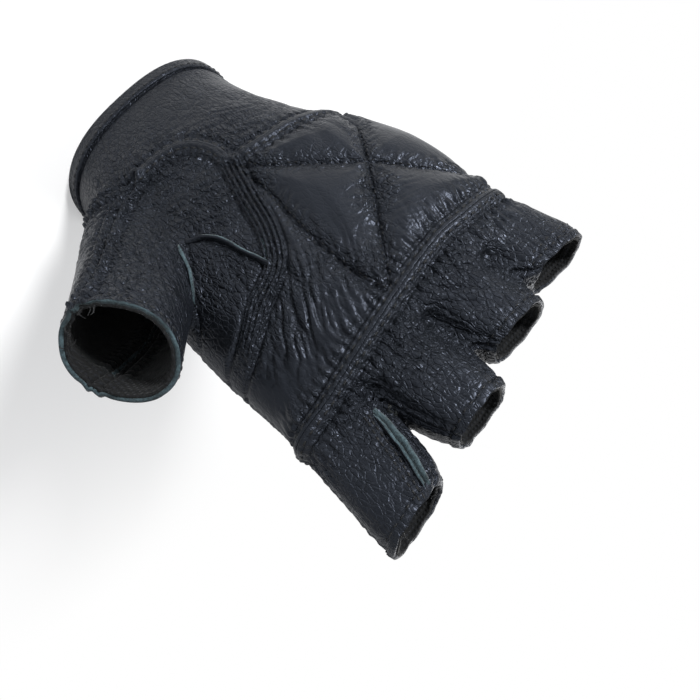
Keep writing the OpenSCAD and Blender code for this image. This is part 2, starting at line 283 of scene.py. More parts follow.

# %% [markdown]
# ## Seam lines
# A glove cutter draws each panel as an outline. Here every seam is a line drawn in X and Z over the palm, or a
# plane through the glove. For any point, a small function says how far it is from the line and on which side,
# and the skin is cut where that number is zero.

# %% Lines on the palm, as given points in X and Z
JUNCTION = (-1, 53)
FINGER_SEAM = smooth_line([(-60, 116), (-41.4, 116.2), (-30.3, 116.2), (-18.4, 115.8), (-0.8, 117.8),
                           (13.8, 119.8),
                           (26, 121.5), (35, 122.6), (46.4, 123.4), (60, 124)])
CUFF_SEAM = smooth_line([(-60, 60), (-31, 57), (-23, 55.7), (-12.4, 54.7), (-7, 53.6), JUNCTION, (10, 52)])
BAND = smooth_line([JUNCTION, (4, 65.8), (8.7, 78.2), (15.7, 87.2), (25.7, 90.3), (38.3, 95.4), (56, 98)])
HEEL_ARC = smooth_line([(84, 12), (56, 16.5), (34.4, 24.6), (19, 31), (10.6, 32), (3.9, 34.7), (0.2, 39.5),
                        (-1.6, 45.8), JUNCTION])
THUMB_LOOP = np.vstack([HEEL_ARC, BAND[1:]])
THUMB_SEAM = smooth_line([(5, 24), (19, 31), (29.3, 35.7), (40.6, 49.2), (51.3, 64.7), (61.3, 73.2),
                          (74, 84),
                          (88, 96)])
WEB_TOP = smooth_line([(15, 93), (16.3, 87.2), (18.4, 79.2), (19.4, 72), (22, 64.3), (25.4, 59.5), (29, 56)])
QUILTING = [
    smooth_line([(-1, 54.5), (-8.3, 64), (-17, 73.8), (-26.5, 83.9), (-30.6, 89), (-35.4, 96), (-43, 105)]),
    smooth_line([(-36, 60), (-36.6, 69.5), (-32.4, 76), (-26.5, 83.9), (-18.3, 93.9), (-9.5, 104),
                 (1.5, 117)]),
    smooth_line([(-1, 54.5), (-0.7, 69.4), (1.8, 83.5), (2.8, 95.8), (3, 107), (1.5, 117)]),
]


def side_of(line, p):
    """How far points are from a line in X and Z, positive on the left of its direction."""
    near = np.full(len(p), 1e9)
    side = np.ones(len(p))
    x, z = p[:, 0], p[:, 2]
    for (ax, az), (bx, bz) in zip(line, line[1:]):
        dx, dz = bx - ax, bz - az
        t = clamp01(((x - ax) * dx + (z - az) * dz) / (dx * dx + dz * dz))
        gap = np.hypot(x - ax - t * dx, z - az - t * dz)
        closer = gap < near
        near = np.where(closer, gap, near)
        side = np.where(closer, np.sign(dx * (z - az) - dz * (x - ax)), side)
    return near * side


def over(line, p):
    """How far above a line points are, for a line that runs along X."""
    return p[:, 2] - np.interp(p[:, 0], line[:, 0], line[:, 1])


def beyond(at, facing):
    """A function that says how far points are in front of a plane."""
    facing = np.array(Vector(facing).normalized())
    return lambda p: (p - np.array(at)) @ facing


# %% Planes and zones
web_side = beyond((25, -25, 60), (-0.763, 0.393, 0.513))
thumb_mouth = beyond(THUMB_END, THUMB_OUT)
CUFF_BACK_TOP, SLIT_RADIUS, SLIT_HEIGHT = 48, 4.5, 44
WALL_HALF, WALL_FOOT = STALL_DEPTH / 3, 124.3
BAND_HALF = 3
FOOT, BINDING_TOP = 1, 5


def thumb_split(p):
    """How far points are above the outer thumb seam, on the side of the thumb's front panel."""
    return side_of(THUMB_SEAM, p)


def to_back(p):
    """How far points are behind the side seams."""
    return p[:, 1] - np.interp(p[:, 2], [0, 70.8], [-1, -6])


def on_thumb_tube(p):
    return (web_side(p) < 0) & (p[:, 2] > 59) & (p[:, 0] > 18.6)


def band_gap(p):
    """Distance from the edge of the strip over the thumb seam, negative on the strip."""
    return np.abs(side_of(BAND, p)) - BAND_HALF


def slit_gap(p):
    return np.hypot(p[:, 0] - 1, np.maximum(p[:, 2] - SLIT_HEIGHT + SLIT_RADIUS, 0)) - SLIT_RADIUS


def stall_x(name, z):
    line = STALL_LINE[name]
    return np.interp(z, line[:, 2], line[:, 0])


def nearest_stall(p):
    """The number of the stall whose centre line is nearest."""
    return np.argmin([np.abs(p[:, 0] - stall_x(name, p[:, 2])) for name in STALLS], axis=0)


def mouth_gap(number, p):
    """How far points are above one stall's opening, whose edge is slanted and a little uneven."""
    name = list(STALLS)[number]
    ripple = 0.25 * np.sin(p[:, 0] * 0.9 + number) + 0.15 * np.sin(p[:, 0] * 2.1 + p[:, 1])
    return p[:, 2] - STALL_TOP[name] - STALLS[name][4] * (p[:, 0] - stall_x(name, p[:, 2])) + ripple


def wall_number(p):
    """Which pair of neighbouring stalls a point lies between, and -1 where it is outside them all."""
    centres = np.array([stall_x(name, p[:, 2]) for name in STALLS])
    number = (p[:, 0] > centres).sum(axis=0) - 1
    between = (number >= 0) & (number < 3) & (p[:, 2] > WALL_FOOT) & (np.abs(p[:, 1] - MIDDLE_Y) < WALL_HALF)
    return np.where(between, number, -1)


# %% [markdown]
# ### Cutting along a line that isn't straight
# `bisect_plane` only cuts along a flat plane. The trick is to bend space for a moment: every vertex gets the
# value of the seam function as its x coordinate, so that the curved seam becomes the flat plane x = 0. The true
# places wait in a vector layer, which the operator interpolates for the new vertices, and are put back after
# the cut.


# %% Cut
def cut(bm, value, near):
    """Cut the faces picked by near where value is zero. Both take points in mm."""
    home = bm.verts.layers.float_vector["home"]
    middles = np.array([f.calc_center_median() for f in bm.faces]) / MM
    faces = [f for f, chosen in zip(bm.faces, near(middles)) if chosen]
    verts = list({v for f in faces for v in f.verts})
    edges = list({e for f in faces for e in f.edges})
    places = np.array([v.co for v in verts]) / MM
    for v, x in zip(verts, value(places) * MM):
        v[home] = v.co
        v.co.x = x
    done = bmesh.ops.bisect_plane(bm, geom=verts + edges + faces, dist=0.15 * VOXEL, plane_co=(0, 0, 0),
                                  plane_no=(1, 0, 0))
    new = [g for g in done["geom_cut"] if isinstance(g, bmesh.types.BMVert)]
    for v in set(verts + new):
        v.co = v[home]


def trim(bm, outside):
    """Delete the faces whose middles outside picks."""
    middles = np.array([f.calc_center_median() for f in bm.faces]) / MM
    gone = [f for f, chosen in zip(bm.faces, outside(middles)) if chosen]
    bmesh.ops.delete(bm, geom=gone, context="FACES")


# %% Open the mouths, the cuff and the slit
skin = bmesh.new()
skin.from_mesh(skin_mesh)
skin.verts.layers.float_vector.new("home")
CUT_REACH = 4
for number in range(len(STALLS)):
    def at_mouth(p, number=number):
        return (nearest_stall(p) == number) & (p[:, 2] > 136)

    cut(skin, lambda p: mouth_gap(number, p), lambda p: at_mouth(p)
        & (np.abs(mouth_gap(number, p)) < CUT_REACH))
    trim(skin, lambda p: at_mouth(p) & (mouth_gap(number, p) > 0))
cut(skin, thumb_mouth, lambda p: (np.abs(thumb_mouth(p)) < CUT_REACH) & (p[:, 0] > 35) & (p[:, 1] < -20))
trim(skin, lambda p: (thumb_mouth(p) > 0) & (p[:, 0] > 35) & (p[:, 1] < -20))
cut(skin, lambda p: p[:, 2] - FOOT, lambda p: p[:, 2] < CUT_REACH)
trim(skin, lambda p: p[:, 2] < FOOT)
cut(skin, slit_gap, lambda p: (to_back(p) > 2) & (np.abs(slit_gap(p)) < CUT_REACH))
trim(skin, lambda p: (to_back(p) > 2) & (slit_gap(p) < 0))
print("opened skin:", len(skin.faces), "faces")

# %% Cut the seams
cut(skin, to_back, lambda p: np.abs(to_back(p)) < CUT_REACH)
cut(skin, lambda p: over(FINGER_SEAM, p),
    lambda p: (np.abs(over(FINGER_SEAM, p)) < CUT_REACH) & (to_back(p) < 0) & ~on_thumb_tube(p))
cut(skin, lambda p: over(CUFF_SEAM, p),
    lambda p: (np.abs(over(CUFF_SEAM, p)) < CUT_REACH) & (to_back(p) < 0) & (side_of(THUMB_LOOP, p) > -1)
    & (p[:, 0] < 4))
cut(skin, lambda p: side_of(HEEL_ARC, p),
    lambda p: (np.abs(side_of(HEEL_ARC, p)) < CUT_REACH) & (to_back(p) < 0) & (p[:, 2] < 56))
cut(skin, band_gap, lambda p: (np.abs(band_gap(p)) < 2.5) & (to_back(p) < 0) & ~on_thumb_tube(p))
cut(skin, lambda p: side_of(WEB_TOP, p),
    lambda p: (np.abs(side_of(WEB_TOP, p)) < CUT_REACH) & (to_back(p) < 0) & (web_side(p) > -3)
    & (p[:, 2] > 57))
cut(skin, web_side, lambda p: (np.abs(web_side(p)) < CUT_REACH) & (to_back(p) < 0) & (p[:, 2] > 56)
    & (p[:, 0] > 20))
cut(skin, thumb_split, lambda p: (np.abs(thumb_split(p)) < CUT_REACH) & (to_back(p) < 0)
    & (p[:, 0] > 15) & (side_of(THUMB_LOOP, p) < 2)
    | (on_thumb_tube(p) & (np.abs(thumb_split(p)) < CUT_REACH)))
for side in (-1, 1):
    cut(skin, lambda p: (p[:, 1] - MIDDLE_Y) * side - WALL_HALF,
        lambda p: (p[:, 2] > WALL_FOOT - 1) & (np.abs((p[:, 1] - MIDDLE_Y) * side - WALL_HALF) < CUT_REACH))
cut(skin, lambda p: p[:, 2] - WALL_FOOT,
    lambda p: (np.abs(p[:, 2] - WALL_FOOT) < CUT_REACH) & (np.abs(p[:, 1] - MIDDLE_Y) < WALL_HALF + 1))
cut(skin, lambda p: p[:, 2] - CUFF_BACK_TOP, lambda p: (np.abs(p[:, 2] - CUFF_BACK_TOP) < CUT_REACH)
    & (to_back(p) > 0))
cut(skin, lambda p: p[:, 0] - 1,
    lambda p: (np.abs(p[:, 0] - 1) < CUT_REACH) & (to_back(p) > 0) & (p[:, 2] < CUFF_BACK_TOP))
for number in range(len(STALLS)):
    cut(skin, lambda p: mouth_gap(number, p) + TAPE_WIDTH,
        lambda p: (nearest_stall(p) == number) & (np.abs(mouth_gap(number, p) + TAPE_WIDTH) < 2))
cut(skin, lambda p: thumb_mouth(p) + TAPE_WIDTH,
    lambda p: (np.abs(thumb_mouth(p) + TAPE_WIDTH) < 2) & (p[:, 0] > 35) & (p[:, 1] < -18))
cut(skin, lambda p: p[:, 2] - BINDING_TOP, lambda p: p[:, 2] < BINDING_TOP + 3)
print("cut skin:", len(skin.faces), "faces")

# %% Say which panel every face belongs to
PANELS = ["palm_panel", "heel_panel", "finger_panel", "thumb_front", "thumb_back", "thumb_gusset",
          "thumb_band",
          "back_panel", "cuff_back_thumb_side", "cuff_back_little_side",
          "fourchette_little_ring", "fourchette_ring_middle", "fourchette_middle_index"]
NUMBER = {name: i for i, name in enumerate(PANELS)}


def panel_at(p):
    """The number of the panel at each point, in the order that the seams hide one another."""
    outside = side_of(THUMB_LOOP, p) > 0
    panel = np.where(over(CUFF_SEAM, p) > 0, NUMBER["palm_panel"], NUMBER["heel_panel"])
    thumb = np.where(thumb_split(p) > 0, NUMBER["thumb_front"], NUMBER["thumb_back"])
    panel = np.where(outside, panel, thumb)
    web = ~outside & (side_of(WEB_TOP, p) > 0) & (web_side(p) > 0) & (p[:, 2] > 57)
    panel = np.where(web, NUMBER["thumb_gusset"], panel)
    panel = np.where(band_gap(p) < 0, NUMBER["thumb_band"], panel)
    panel = np.where(over(FINGER_SEAM, p) > 0, NUMBER["finger_panel"], panel)
    panel = np.where(on_thumb_tube(p), thumb, panel)
    cuff = np.where(p[:, 0] > 1, NUMBER["cuff_back_thumb_side"], NUMBER["cuff_back_little_side"])
    behind = np.where(p[:, 2] > CUFF_BACK_TOP, NUMBER["back_panel"], cuff)
    panel = np.where(to_back(p) > 0, behind, panel)
    wall = wall_number(p)
    return np.where(wall >= 0, NUMBER["fourchette_little_ring"] + wall, panel)


middles = np.array([f.calc_center_median() for f in skin.faces]) / MM
for f, number in zip(skin.faces, panel_at(middles)):
    f.material_index = int(number)
    f.smooth = True


def seam_edges(bm):
    return [e for e in bm.edges if len(e.link_faces) == 2
            and e.link_faces[0].material_index != e.link_faces[1].material_index]


for repeat in range(4):
    seams = seam_edges(skin) + [e for e in skin.edges if e.is_boundary]
    joined = {}
    for e in seams:
        for v in e.verts:
            joined.setdefault(v, []).append(e.other_vert(v))
    moved = {v: (2 * v.co + a[0].co + a[1].co) / 4 for v, a in joined.items() if len(a) == 2}
    for v, place in moved.items():
        v.co = place
fixed = {v for e in seams for v in e.verts}
loose = [v for v in skin.verts if v not in fixed and not v.is_boundary]
for repeat in range(2):
    bmesh.ops.smooth_vert(skin, verts=loose, factor=0.4, use_axis_x=True, use_axis_y=True, use_axis_z=True)
skin.verts.layers.float_vector.remove(skin.verts.layers.float_vector["home"])
skin.to_mesh(skin_mesh)
skin.free()
counts = np.bincount([p.material_index for p in skin_mesh.polygons], minlength=len(PANELS))
print("faces per panel:", {name: int(c) for name, c in zip(PANELS, counts)})

# %% [markdown]
# ## Finer net
# One Catmull-Clark subdivision halves the squares and rounds the cuts. It is applied here, not left on the
# pieces, because the next steps move single vertices to raise seams, puffs and wrinkles.

# %% Subdivide once
work = new_object("skin", skin_mesh)
finer = work.modifiers.new("finer", "SUBSURF")
finer.levels = finer.render_levels = 1
skin_mesh = with_modifiers(work, "skin")
count = len(skin_mesh.vertices)


def read(mesh, source, field, width):
    values = np.empty(len(source) * width, np.float32)
    source.foreach_get(field, values)
    return values.reshape(-1, width).astype(float)


base = read(skin_mesh, skin_mesh.vertices, "co", 3) / MM
face_middles = read(skin_mesh, skin_mesh.polygons, "center", 3) / MM
normals = read(skin_mesh, skin_mesh.vertices, "normal", 3)
print("fine skin:", count, "points")

# %% [markdown]
# ## Seams as ordered chains
# Raised seams, stitches and raw edges all need to know where a seam runs. The edges between two panels are
# walked from end to end, which gives a chain of points in order, and the chain is resampled at even steps.


# %% Chains
def walk(pairs):
    """Turn a bag of vertex pairs into ordered runs of vertex numbers, longest first."""
    links = {}
    for a, b in pairs:
        links.setdefault(a, set()).add(b)
        links.setdefault(b, set()).add(a)
    runs = []
    while links:
        start = min((v for v in links if len(links[v]) == 1), default=min(links))
        run = [start]
        while links.get(run[-1]):
            following = min(links[run[-1]])
            links[run[-1]].discard(following)
            links[following].discard(run[-1])
            run.append(following)
        for v in [v for v in links if not links[v]]:
            del links[v]
        runs.append(run)
    return sorted(runs, key=len, reverse=True)


fine = bmesh.new()
fine.from_mesh(skin_mesh)
pairs = {}
for e in seam_edges(fine):
    key = frozenset(PANELS[f.material_index] for f in e.link_faces)
    pairs.setdefault(key, []).append((e.verts[0].index, e.verts[1].index))
rims = [(e.verts[0].index, e.verts[1].index) for e in fine.edges if e.is_boundary]
fine.free()
STEP = 0.5


def resample(points, step=STEP):
    """Even steps along a run of points, after a light smoothing that takes out the net's own ripple."""
    points = np.array(points)
    for repeat in range(6):
        points[1:-1] = (points[:-2] + 2 * points[1:-1] + points[2:]) / 4
    length = np.concatenate([[0], np.cumsum(np.linalg.norm(np.diff(points[:, :3], axis=0), axis=1))])
    at = np.arange(0, length[-1], step)
    return np.stack([np.interp(at, length, column) for column in points.T], axis=1)


def chain(*names, shortest=6):
    """The seams between the panels named in pairs, as arrays of place and outward direction, in mm."""
    found = []
    for a, b in zip(names[::2], names[1::2]):
        for run in walk(pairs.get(frozenset((a, b)), [])):
            rows = resample(np.hstack([base[run], normals[run]]))
            if len(rows) * STEP > shortest:
                found.append(rows)
    return found


print("seams:", {" - ".join(sorted(k)): len(v) for k, v in pairs.items()})

# %% Seams by the way they are sewn
TOPSTITCHED = {
    "finger_seam": chain("palm_panel", "finger_panel"),
    "cuff_seam": chain("heel_panel", "palm_panel"),
    "thumb_arc": chain("heel_panel", "thumb_front"),
    "back_seam": chain("back_panel", "cuff_back_thumb_side", "back_panel", "cuff_back_little_side"),
}
BACKS = ("back_panel", "cuff_back_thumb_side", "cuff_back_little_side")
FRONTS = ("palm_panel", "heel_panel", "finger_panel", "thumb_back", "thumb_gusset", "thumb_band",
          "thumb_front")
WALLS = PANELS[10:]
TURNED = {
    "thumb_outer": chain("thumb_front", "thumb_back"),
    "thumb_heel": chain("heel_panel", "thumb_back"),
    "side_seams": chain(*[n for a in FRONTS for b in BACKS for n in (a, b)]),
    "stall_walls": chain(*[n for a in ("finger_panel", "back_panel") for b in WALLS for n in (a, b)]),
    "cuff_middle": chain("cuff_back_thumb_side", "cuff_back_little_side", shortest=2),
}
RAW = {
    "web_top": chain("thumb_front", "thumb_gusset"),
    "web_side": chain("thumb_back", "thumb_gusset"),
}
for group in (TOPSTITCHED, TURNED, RAW):
    print({name: [round(len(rows) * STEP) for rows in found] for name, found in group.items()})


def seam_distance(group):
    """For every point of the skin: distance to the nearest seam of a group, and how far along it that is."""
    rows = [row for found in group.values() for rows in found for row in rows]
    along = [i * STEP for found in group.values() for rows in found for i in range(len(rows))]
    tree = KDTree(len(rows))
    for i, row in enumerate(rows):
        tree.insert(row[:3], i)
    tree.balance()
    distance, run = np.empty(count), np.empty(count)
    for i, point in enumerate(base):
        _, nearest, gap = tree.find(point)
        distance[i], run[i] = gap, along[nearest]
    return distance, run


top_gap, top_run = seam_distance(TOPSTITCHED)
turned_gap, turned_run = seam_distance(TURNED)
raw_gap, _ = seam_distance(RAW)

# %% [markdown]
# ## Relief: what thread, foam and wear do to leather
# Two rows of stitching pull a lapped seam up into a rounded band. Foam under the palm leather swells between
# the quilting lines, and the lines bite in as narrow valleys. Where the leather is gathered or the hand bends,
# it wrinkles in one direction. Each effect is a height in millimetres for every point of the skin, and all the
# heights are added before the skin is pushed out along its normals.


# %% Building blocks for relief
def bell(gap, width):
    return np.exp(-((gap / width) ** 2))


def flat_top(gap, half):
    return 1 / (1 + (gap / half) ** 6)


def rough(points, salt):
    """Smooth noise between about -1 and 1 at each point."""
    return np.array([noise.noise(Vector(p) + Vector((salt, 7 * salt, 13 * salt))) for p in points])


def wrinkles(along, pitch, length, salt):
    """Creases along one direction: noise stretched that way, folded so that its zero lines are narrow valleys."""
    along = np.array(Vector(along).normalized())
    reach = base @ along
    squeezed = (base - reach[:, None] * along) / pitch + (reach / length)[:, None] * along
    return 2 * np.minimum(1, 2.6 * np.abs(rough(squeezed, salt))) ** 0.7 - 1


def spot(centre, radius):
    return bell(np.linalg.norm(base - np.array(centre), axis=1), radius)


# %% Masks over the skin
panel_of_face = np.array([p.material_index for p in skin_mesh.polygons])
on_palm = clamp01(-to_back(base) / 2)
on_back = 1 - on_palm
quilt = np.min([np.abs(side_of(line, base)) for line in QUILTING], axis=0)
loop_side = side_of(THUMB_LOOP, base)
band_side = side_of(BAND, base)
tube = on_thumb_tube(base)
pad = clamp01(loop_side / 4) * clamp01(over(CUFF_SEAM, base) / 3) * clamp01(-over(FINGER_SEAM,
                                                                                  base) / 3) * on_palm
pad = np.where(tube, 0, pad)
under_tab = bell(np.maximum(np.abs(base[:, 0] + 1) - 32, 0),
                 4) * bell(np.maximum(np.abs(base[:, 2] - 22) - 14, 0), 3)
under_tab = under_tab * on_back
calm = rough(base / 16, 3)

# %% Seam relief
ROW_SHIFT = 1.6
relief = 1.5 * flat_top(top_gap, 2.5)
relief -= 0.65 * bell(top_gap - ROW_SHIFT, 0.38) + 0.7 * bell(top_gap - 3.2, 0.7)
relief += 0.42 * bell(top_gap - 4.4, 1.9) * np.sin(top_run * 2.1 + 2 * calm)
relief += 0.35 * bell(turned_gap - 1.3, 0.8) - 0.6 * bell(turned_gap, 0.65)
relief += 0.12 * bell(turned_gap - 2.5, 1.5) * np.sin(turned_run * 2.1 + 3 * calm)
relief -= 0.5 * bell(raw_gap, 0.9)
outer_gap, outer_run = seam_distance({name: TURNED[name] for name in ("thumb_outer", "thumb_heel")})
relief += 0.9 * bell(outer_gap - 1.7, 1.1) - 0.5 * bell(outer_gap - 3.6, 1)
relief += 0.4 * bell(outer_gap - 3, 2.6) * np.sin(outer_run * 2.5 + 2 * calm)
names = list(STALLS)
for a, b in zip(names, names[1:]):
    between = (stall_x(a, base[:, 2]) + stall_x(b, base[:, 2])) / 2
    outside_wall = clamp01((np.abs(base[:, 1] - MIDDLE_Y) - WALL_HALF) / 2)
    relief -= 1.9 * bell(base[:, 0] - between, 4.2) * clamp01((base[:, 2] - 119) / 15) * outside_wall
RIDGE_PITCH = 1.45
ridges = 0.5 + 0.5 * np.cos(2 * math.pi * band_side / RIDGE_PITCH)
band_mask = flat_top(np.abs(band_side), BAND_HALF + 0.2) * clamp01((base[:, 2] - 50) / 4) * on_palm * ~tube
band_mask *= 1 - clamp01((base[:, 0] - 30) / 10)
relief += band_mask * (0.3 + 1.3 * ridges**0.8)
relief -= 0.8 * bell(np.abs(band_side) - BAND_HALF - 0.7,
                     0.8) * clamp01((base[:, 2] - 50) / 4) * on_palm * ~tube
below_mouth = np.full(count, 99.0)
for number in range(len(STALLS)):
    mine = (nearest_stall(base) == number) & (base[:, 2] > PALM_LENGTH + 6)
    below_mouth = np.where(mine, -mouth_gap(number, base), below_mouth)
relief += 0.4 * flat_top(below_mouth - 1.1, 1.3) - 0.3 * bell(below_mouth - 2.8, 0.4)
below_thumb = np.where(tube, -thumb_mouth(base), 99.0)
relief += 0.15 * flat_top(below_thumb - 1, 1.2) - 0.3 * bell(below_thumb - 2.4, 0.4)

# %% Quilted pads
edge_in = np.minimum(loop_side - 1, np.minimum(over(CUFF_SEAM, base) - 2, -over(FINGER_SEAM, base) - 2))
hollow = np.minimum(quilt, np.maximum(edge_in, 0))
puff = 3.6 * (1 - np.exp(-hollow / 5.0)) * clamp01((26 - base[:, 0]) / 20)
relief += pad * puff - pad * 0.4 * bell(quilt, 0.45)
relief += pad * 0.3 * bell(quilt - 2.4, 1.6) * wrinkles((1, 0, 0.2), 1.7, 6, 5)

# %% Wrinkles of the worn glove
fine_folds = wrinkles((-0.9, 0.1, 0.45), 2.0, 9, 11)
cross_folds = wrinkles((0.55, 0.1, 0.85), 2.2, 10, 17)
broad_folds = wrinkles((0.2, 0, 1), 5.5, 22, 23)
creased = np.zeros(count)
off_seam = 1 - flat_top(top_gap, 2.7)
CREASES = [
    # centre, radius, folds, depth
    ((12, -25, 58), 11, fine_folds, 0.42),
    ((20, -25, 76), 8, cross_folds, 0.3),
    ((14, -23, 98), 13, cross_folds, 0.5),
    ((26, -20, 104), 11, cross_folds, 0.4),
    ((0, -22, 108), 9, cross_folds, 0.28),
    ((-4, -24, 62), 8, cross_folds, 0.25),
    ((-20, -20, 94), 9, fine_folds, 0.3),
    ((38, -36, 60), 16, cross_folds, 0.32),
    ((50, -45, 78), 14, cross_folds, 0.25),
    ((12, -28, 36), 12, fine_folds, 0.3),
    ((34, -28, 34), 13, fine_folds, 0.35),
    ((-14, -17, 126), 12, fine_folds, 0.35),
    ((10, -17, 130), 13, fine_folds, 0.3),
    ((30, -16, 128), 9, fine_folds, 0.35),
    ((-10, -24, 44), 14, fine_folds, 0.25),
]
for centre, radius, folds, depth in CREASES:
    mask = spot(centre, radius)
    relief += 1.15 * depth * mask * folds * off_seam
    creased = np.maximum(creased, mask)
seam_folds = wrinkles((0.15, 0, 1), 1.9, 9, 41)
above_seam = over(FINGER_SEAM, base)
relief += 0.4 * on_palm * ~tube * (bell(above_seam - 7, 5) + 0.6
                                   * bell(above_seam + 6, 4)) * seam_folds * off_seam
relief -= 1.3 * spot((28, -28, 50), 6)
back_folds = wrinkles((1, 0, 0.1), 2.6, 14, 29)
relief += 0.22 * on_back * back_folds * clamp01(rough(base / 22, 31) + 0.5)
relief += 0.22 * broad_folds * clamp01(calm + 0.4) * off_seam
creased = clamp01(np.maximum(creased, 0.35 + 0.5 * calm) - 0.7 * pad * clamp01(hollow / 9))
creased *= 0.25 + 0.75 * off_seam
relief *= 1 - under_tab
relief -= 0.15 * under_tab
relief *= clamp01((base[:, 2] - BINDING_TOP) / 2.5)
relief -= 0.5 * bell(base[:, 2] - BINDING_TOP - 0.3, 0.7)
relief *= 0.3 + 0.7 * clamp01(np.minimum(below_mouth, below_thumb) / 2)
relief = np.minimum(relief, 4)
print("relief from", round(relief.min(), 2), "to", round(relief.max(), 2), "mm")

# %% [markdown]
# ### Puckers at the stitches
# Every stitch pulls the leather down at its ends. The rows of stitches are worked out first, so that the same
# places can dimple the leather now and carry the thread later.


# %% Stitch rows
def row_beside(rows, shift, pitch, start=0.0):
    """Places, directions and normals of stitches in a row beside a seam."""
    ahead = np.gradient(rows[:, :3], axis=0)
    ahead /= np.maximum(np.linalg.norm(ahead, axis=1, keepdims=True), 1e-9)
    out = rows[:, 3:6] / np.maximum(np.linalg.norm(rows[:, 3:6], axis=1, keepdims=True), 1e-9)
    across = np.cross(ahead, out)
    every = max(1, round(pitch / STEP))
    pick = np.arange(int(start / STEP) + 1, len(rows) - 1, every)
    return [(rows[i, :3] + shift * across[i], ahead[i], out[i]) for i in pick]


def line_rows(line, y=-60):
    """A line in X and Z dropped onto the palm side of the skin."""
    rows = []
    for x, z in resample(np.hstack([line, np.zeros((len(line), 1))]))[:, :2]:
        hit, facing, _, _ = base_tree.ray_cast(Vector((x, y, z)), Vector((0, 1, 0)))
        if hit:
            rows.append([*hit, *facing])
    return np.array(rows)


base_tree = BVHTree.FromPolygons([Vector(p) for p in base], [tuple(p.vertices) for p in skin_mesh.polygons])
STITCH_PITCH = 3.0
ROWS, dimples = {}, []
for name, found in TOPSTITCHED.items():
    for rows in found:
        for shift in (-ROW_SHIFT, ROW_SHIFT):
            ROWS.setdefault(name, []).extend(row_beside(rows, shift, STITCH_PITCH))
            dimples += [s[0] for s in row_beside(rows, shift, STITCH_PITCH, STITCH_PITCH / 2)]
ROWS["quilting"] = [s for line in QUILTING for s in row_beside(line_rows(line), 0, 2.0)]
band_rows = line_rows(BAND[: 8 * 4 + 1])
ROWS["thumb_band"] = [s for shift in (-1.45, 0, 1.45) for s in row_beside(band_rows, shift, 2.0, 3)]
for line in QUILTING:
    dimples += [s[0] for s in row_beside(line_rows(line), 0, 2.0, 1.0)]
tree = KDTree(len(dimples))
for i, place in enumerate(dimples):
    tree.insert(place, i)
tree.balance()
near_stitch = np.array([tree.find(p)[2] if g < 4 else 9.0 for p, g in zip(base, np.minimum(top_gap, quilt))])
relief -= 0.5 * bell(near_stitch, 0.45)
print("stitches:", {name: len(row) for name, row in ROWS.items()})

# %% Push the skin out and keep what the pieces need as attributes
places = base + relief[:, None] * normals
skin_mesh.vertices.foreach_set("co", (places * MM).astype(np.float32).ravel())
skin_mesh.update()
out_layer = skin_mesh.attributes.new("skin_normal", "FLOAT_VECTOR", "POINT")
out_layer.data.foreach_set("vector", normals.astype(np.float32).ravel())
crease_layer = skin_mesh.attributes.new("creased", "FLOAT", "POINT")
crease_layer.data.foreach_set("value", creased.astype(np.float32))
skin_tree = BVHTree.FromPolygons([Vector(p) for p in places],
                                 [tuple(p.vertices) for p in skin_mesh.polygons])

# %% [markdown]
# ## Materials
# All colours are written as sRGB hex values and turned to linear by one function, and one small function adds
# a shader node with its settings and links.


# %% Colour and node helpers
def linear(hex_colour):
    """An sRGB hex value as the linear colour that shaders use."""
    channels = [int(hex_colour[i : i + 2], 16) / 255 for i in (1, 3, 5)]
    return (*[c / 12.92 if c <= 0.04045 else ((c + 0.055) / 1.055) ** 2.4 for c in channels], 1)


def add_node(tree, kind, inputs=None, **settings):
    """Add one node. Settings are its properties; inputs are values, or sockets to link from."""
    made = tree.nodes.new(kind)
    for name, value in settings.items():
        setattr(made, name, value)
    for key, value in (inputs or {}).items():
        if isinstance(value, bpy.types.NodeSocket):
            tree.links.new(value, made.inputs[key])
        else:
            made.inputs[key].default_value = value
    return made


def new_material(name):
    made = bpy.data.materials.new(name)
    made.use_nodes = True
    made.node_tree.nodes.clear()
    return made, made.node_tree


def finish_material(tree, shader):
    add_node(tree, "ShaderNodeOutputMaterial", {"Surface": shader.outputs["BSDF"]})


def per_metre(millimetres):
    """A texture scale at which one cell is this many millimetres wide."""
    return 1 / (millimetres * MM)


# %% [markdown]
# ### Full-grain leather
# Drum-dyed sheepskin: a matt black with a bluish bloom where light grazes it. The grain is a mosaic of small
# pebbles about 1.2 mm across with fine furrows between them, which close up into parallel creases where the
# skin folds. The `creased` attribute opens both up, and the stretched pads stay smoother and shinier.


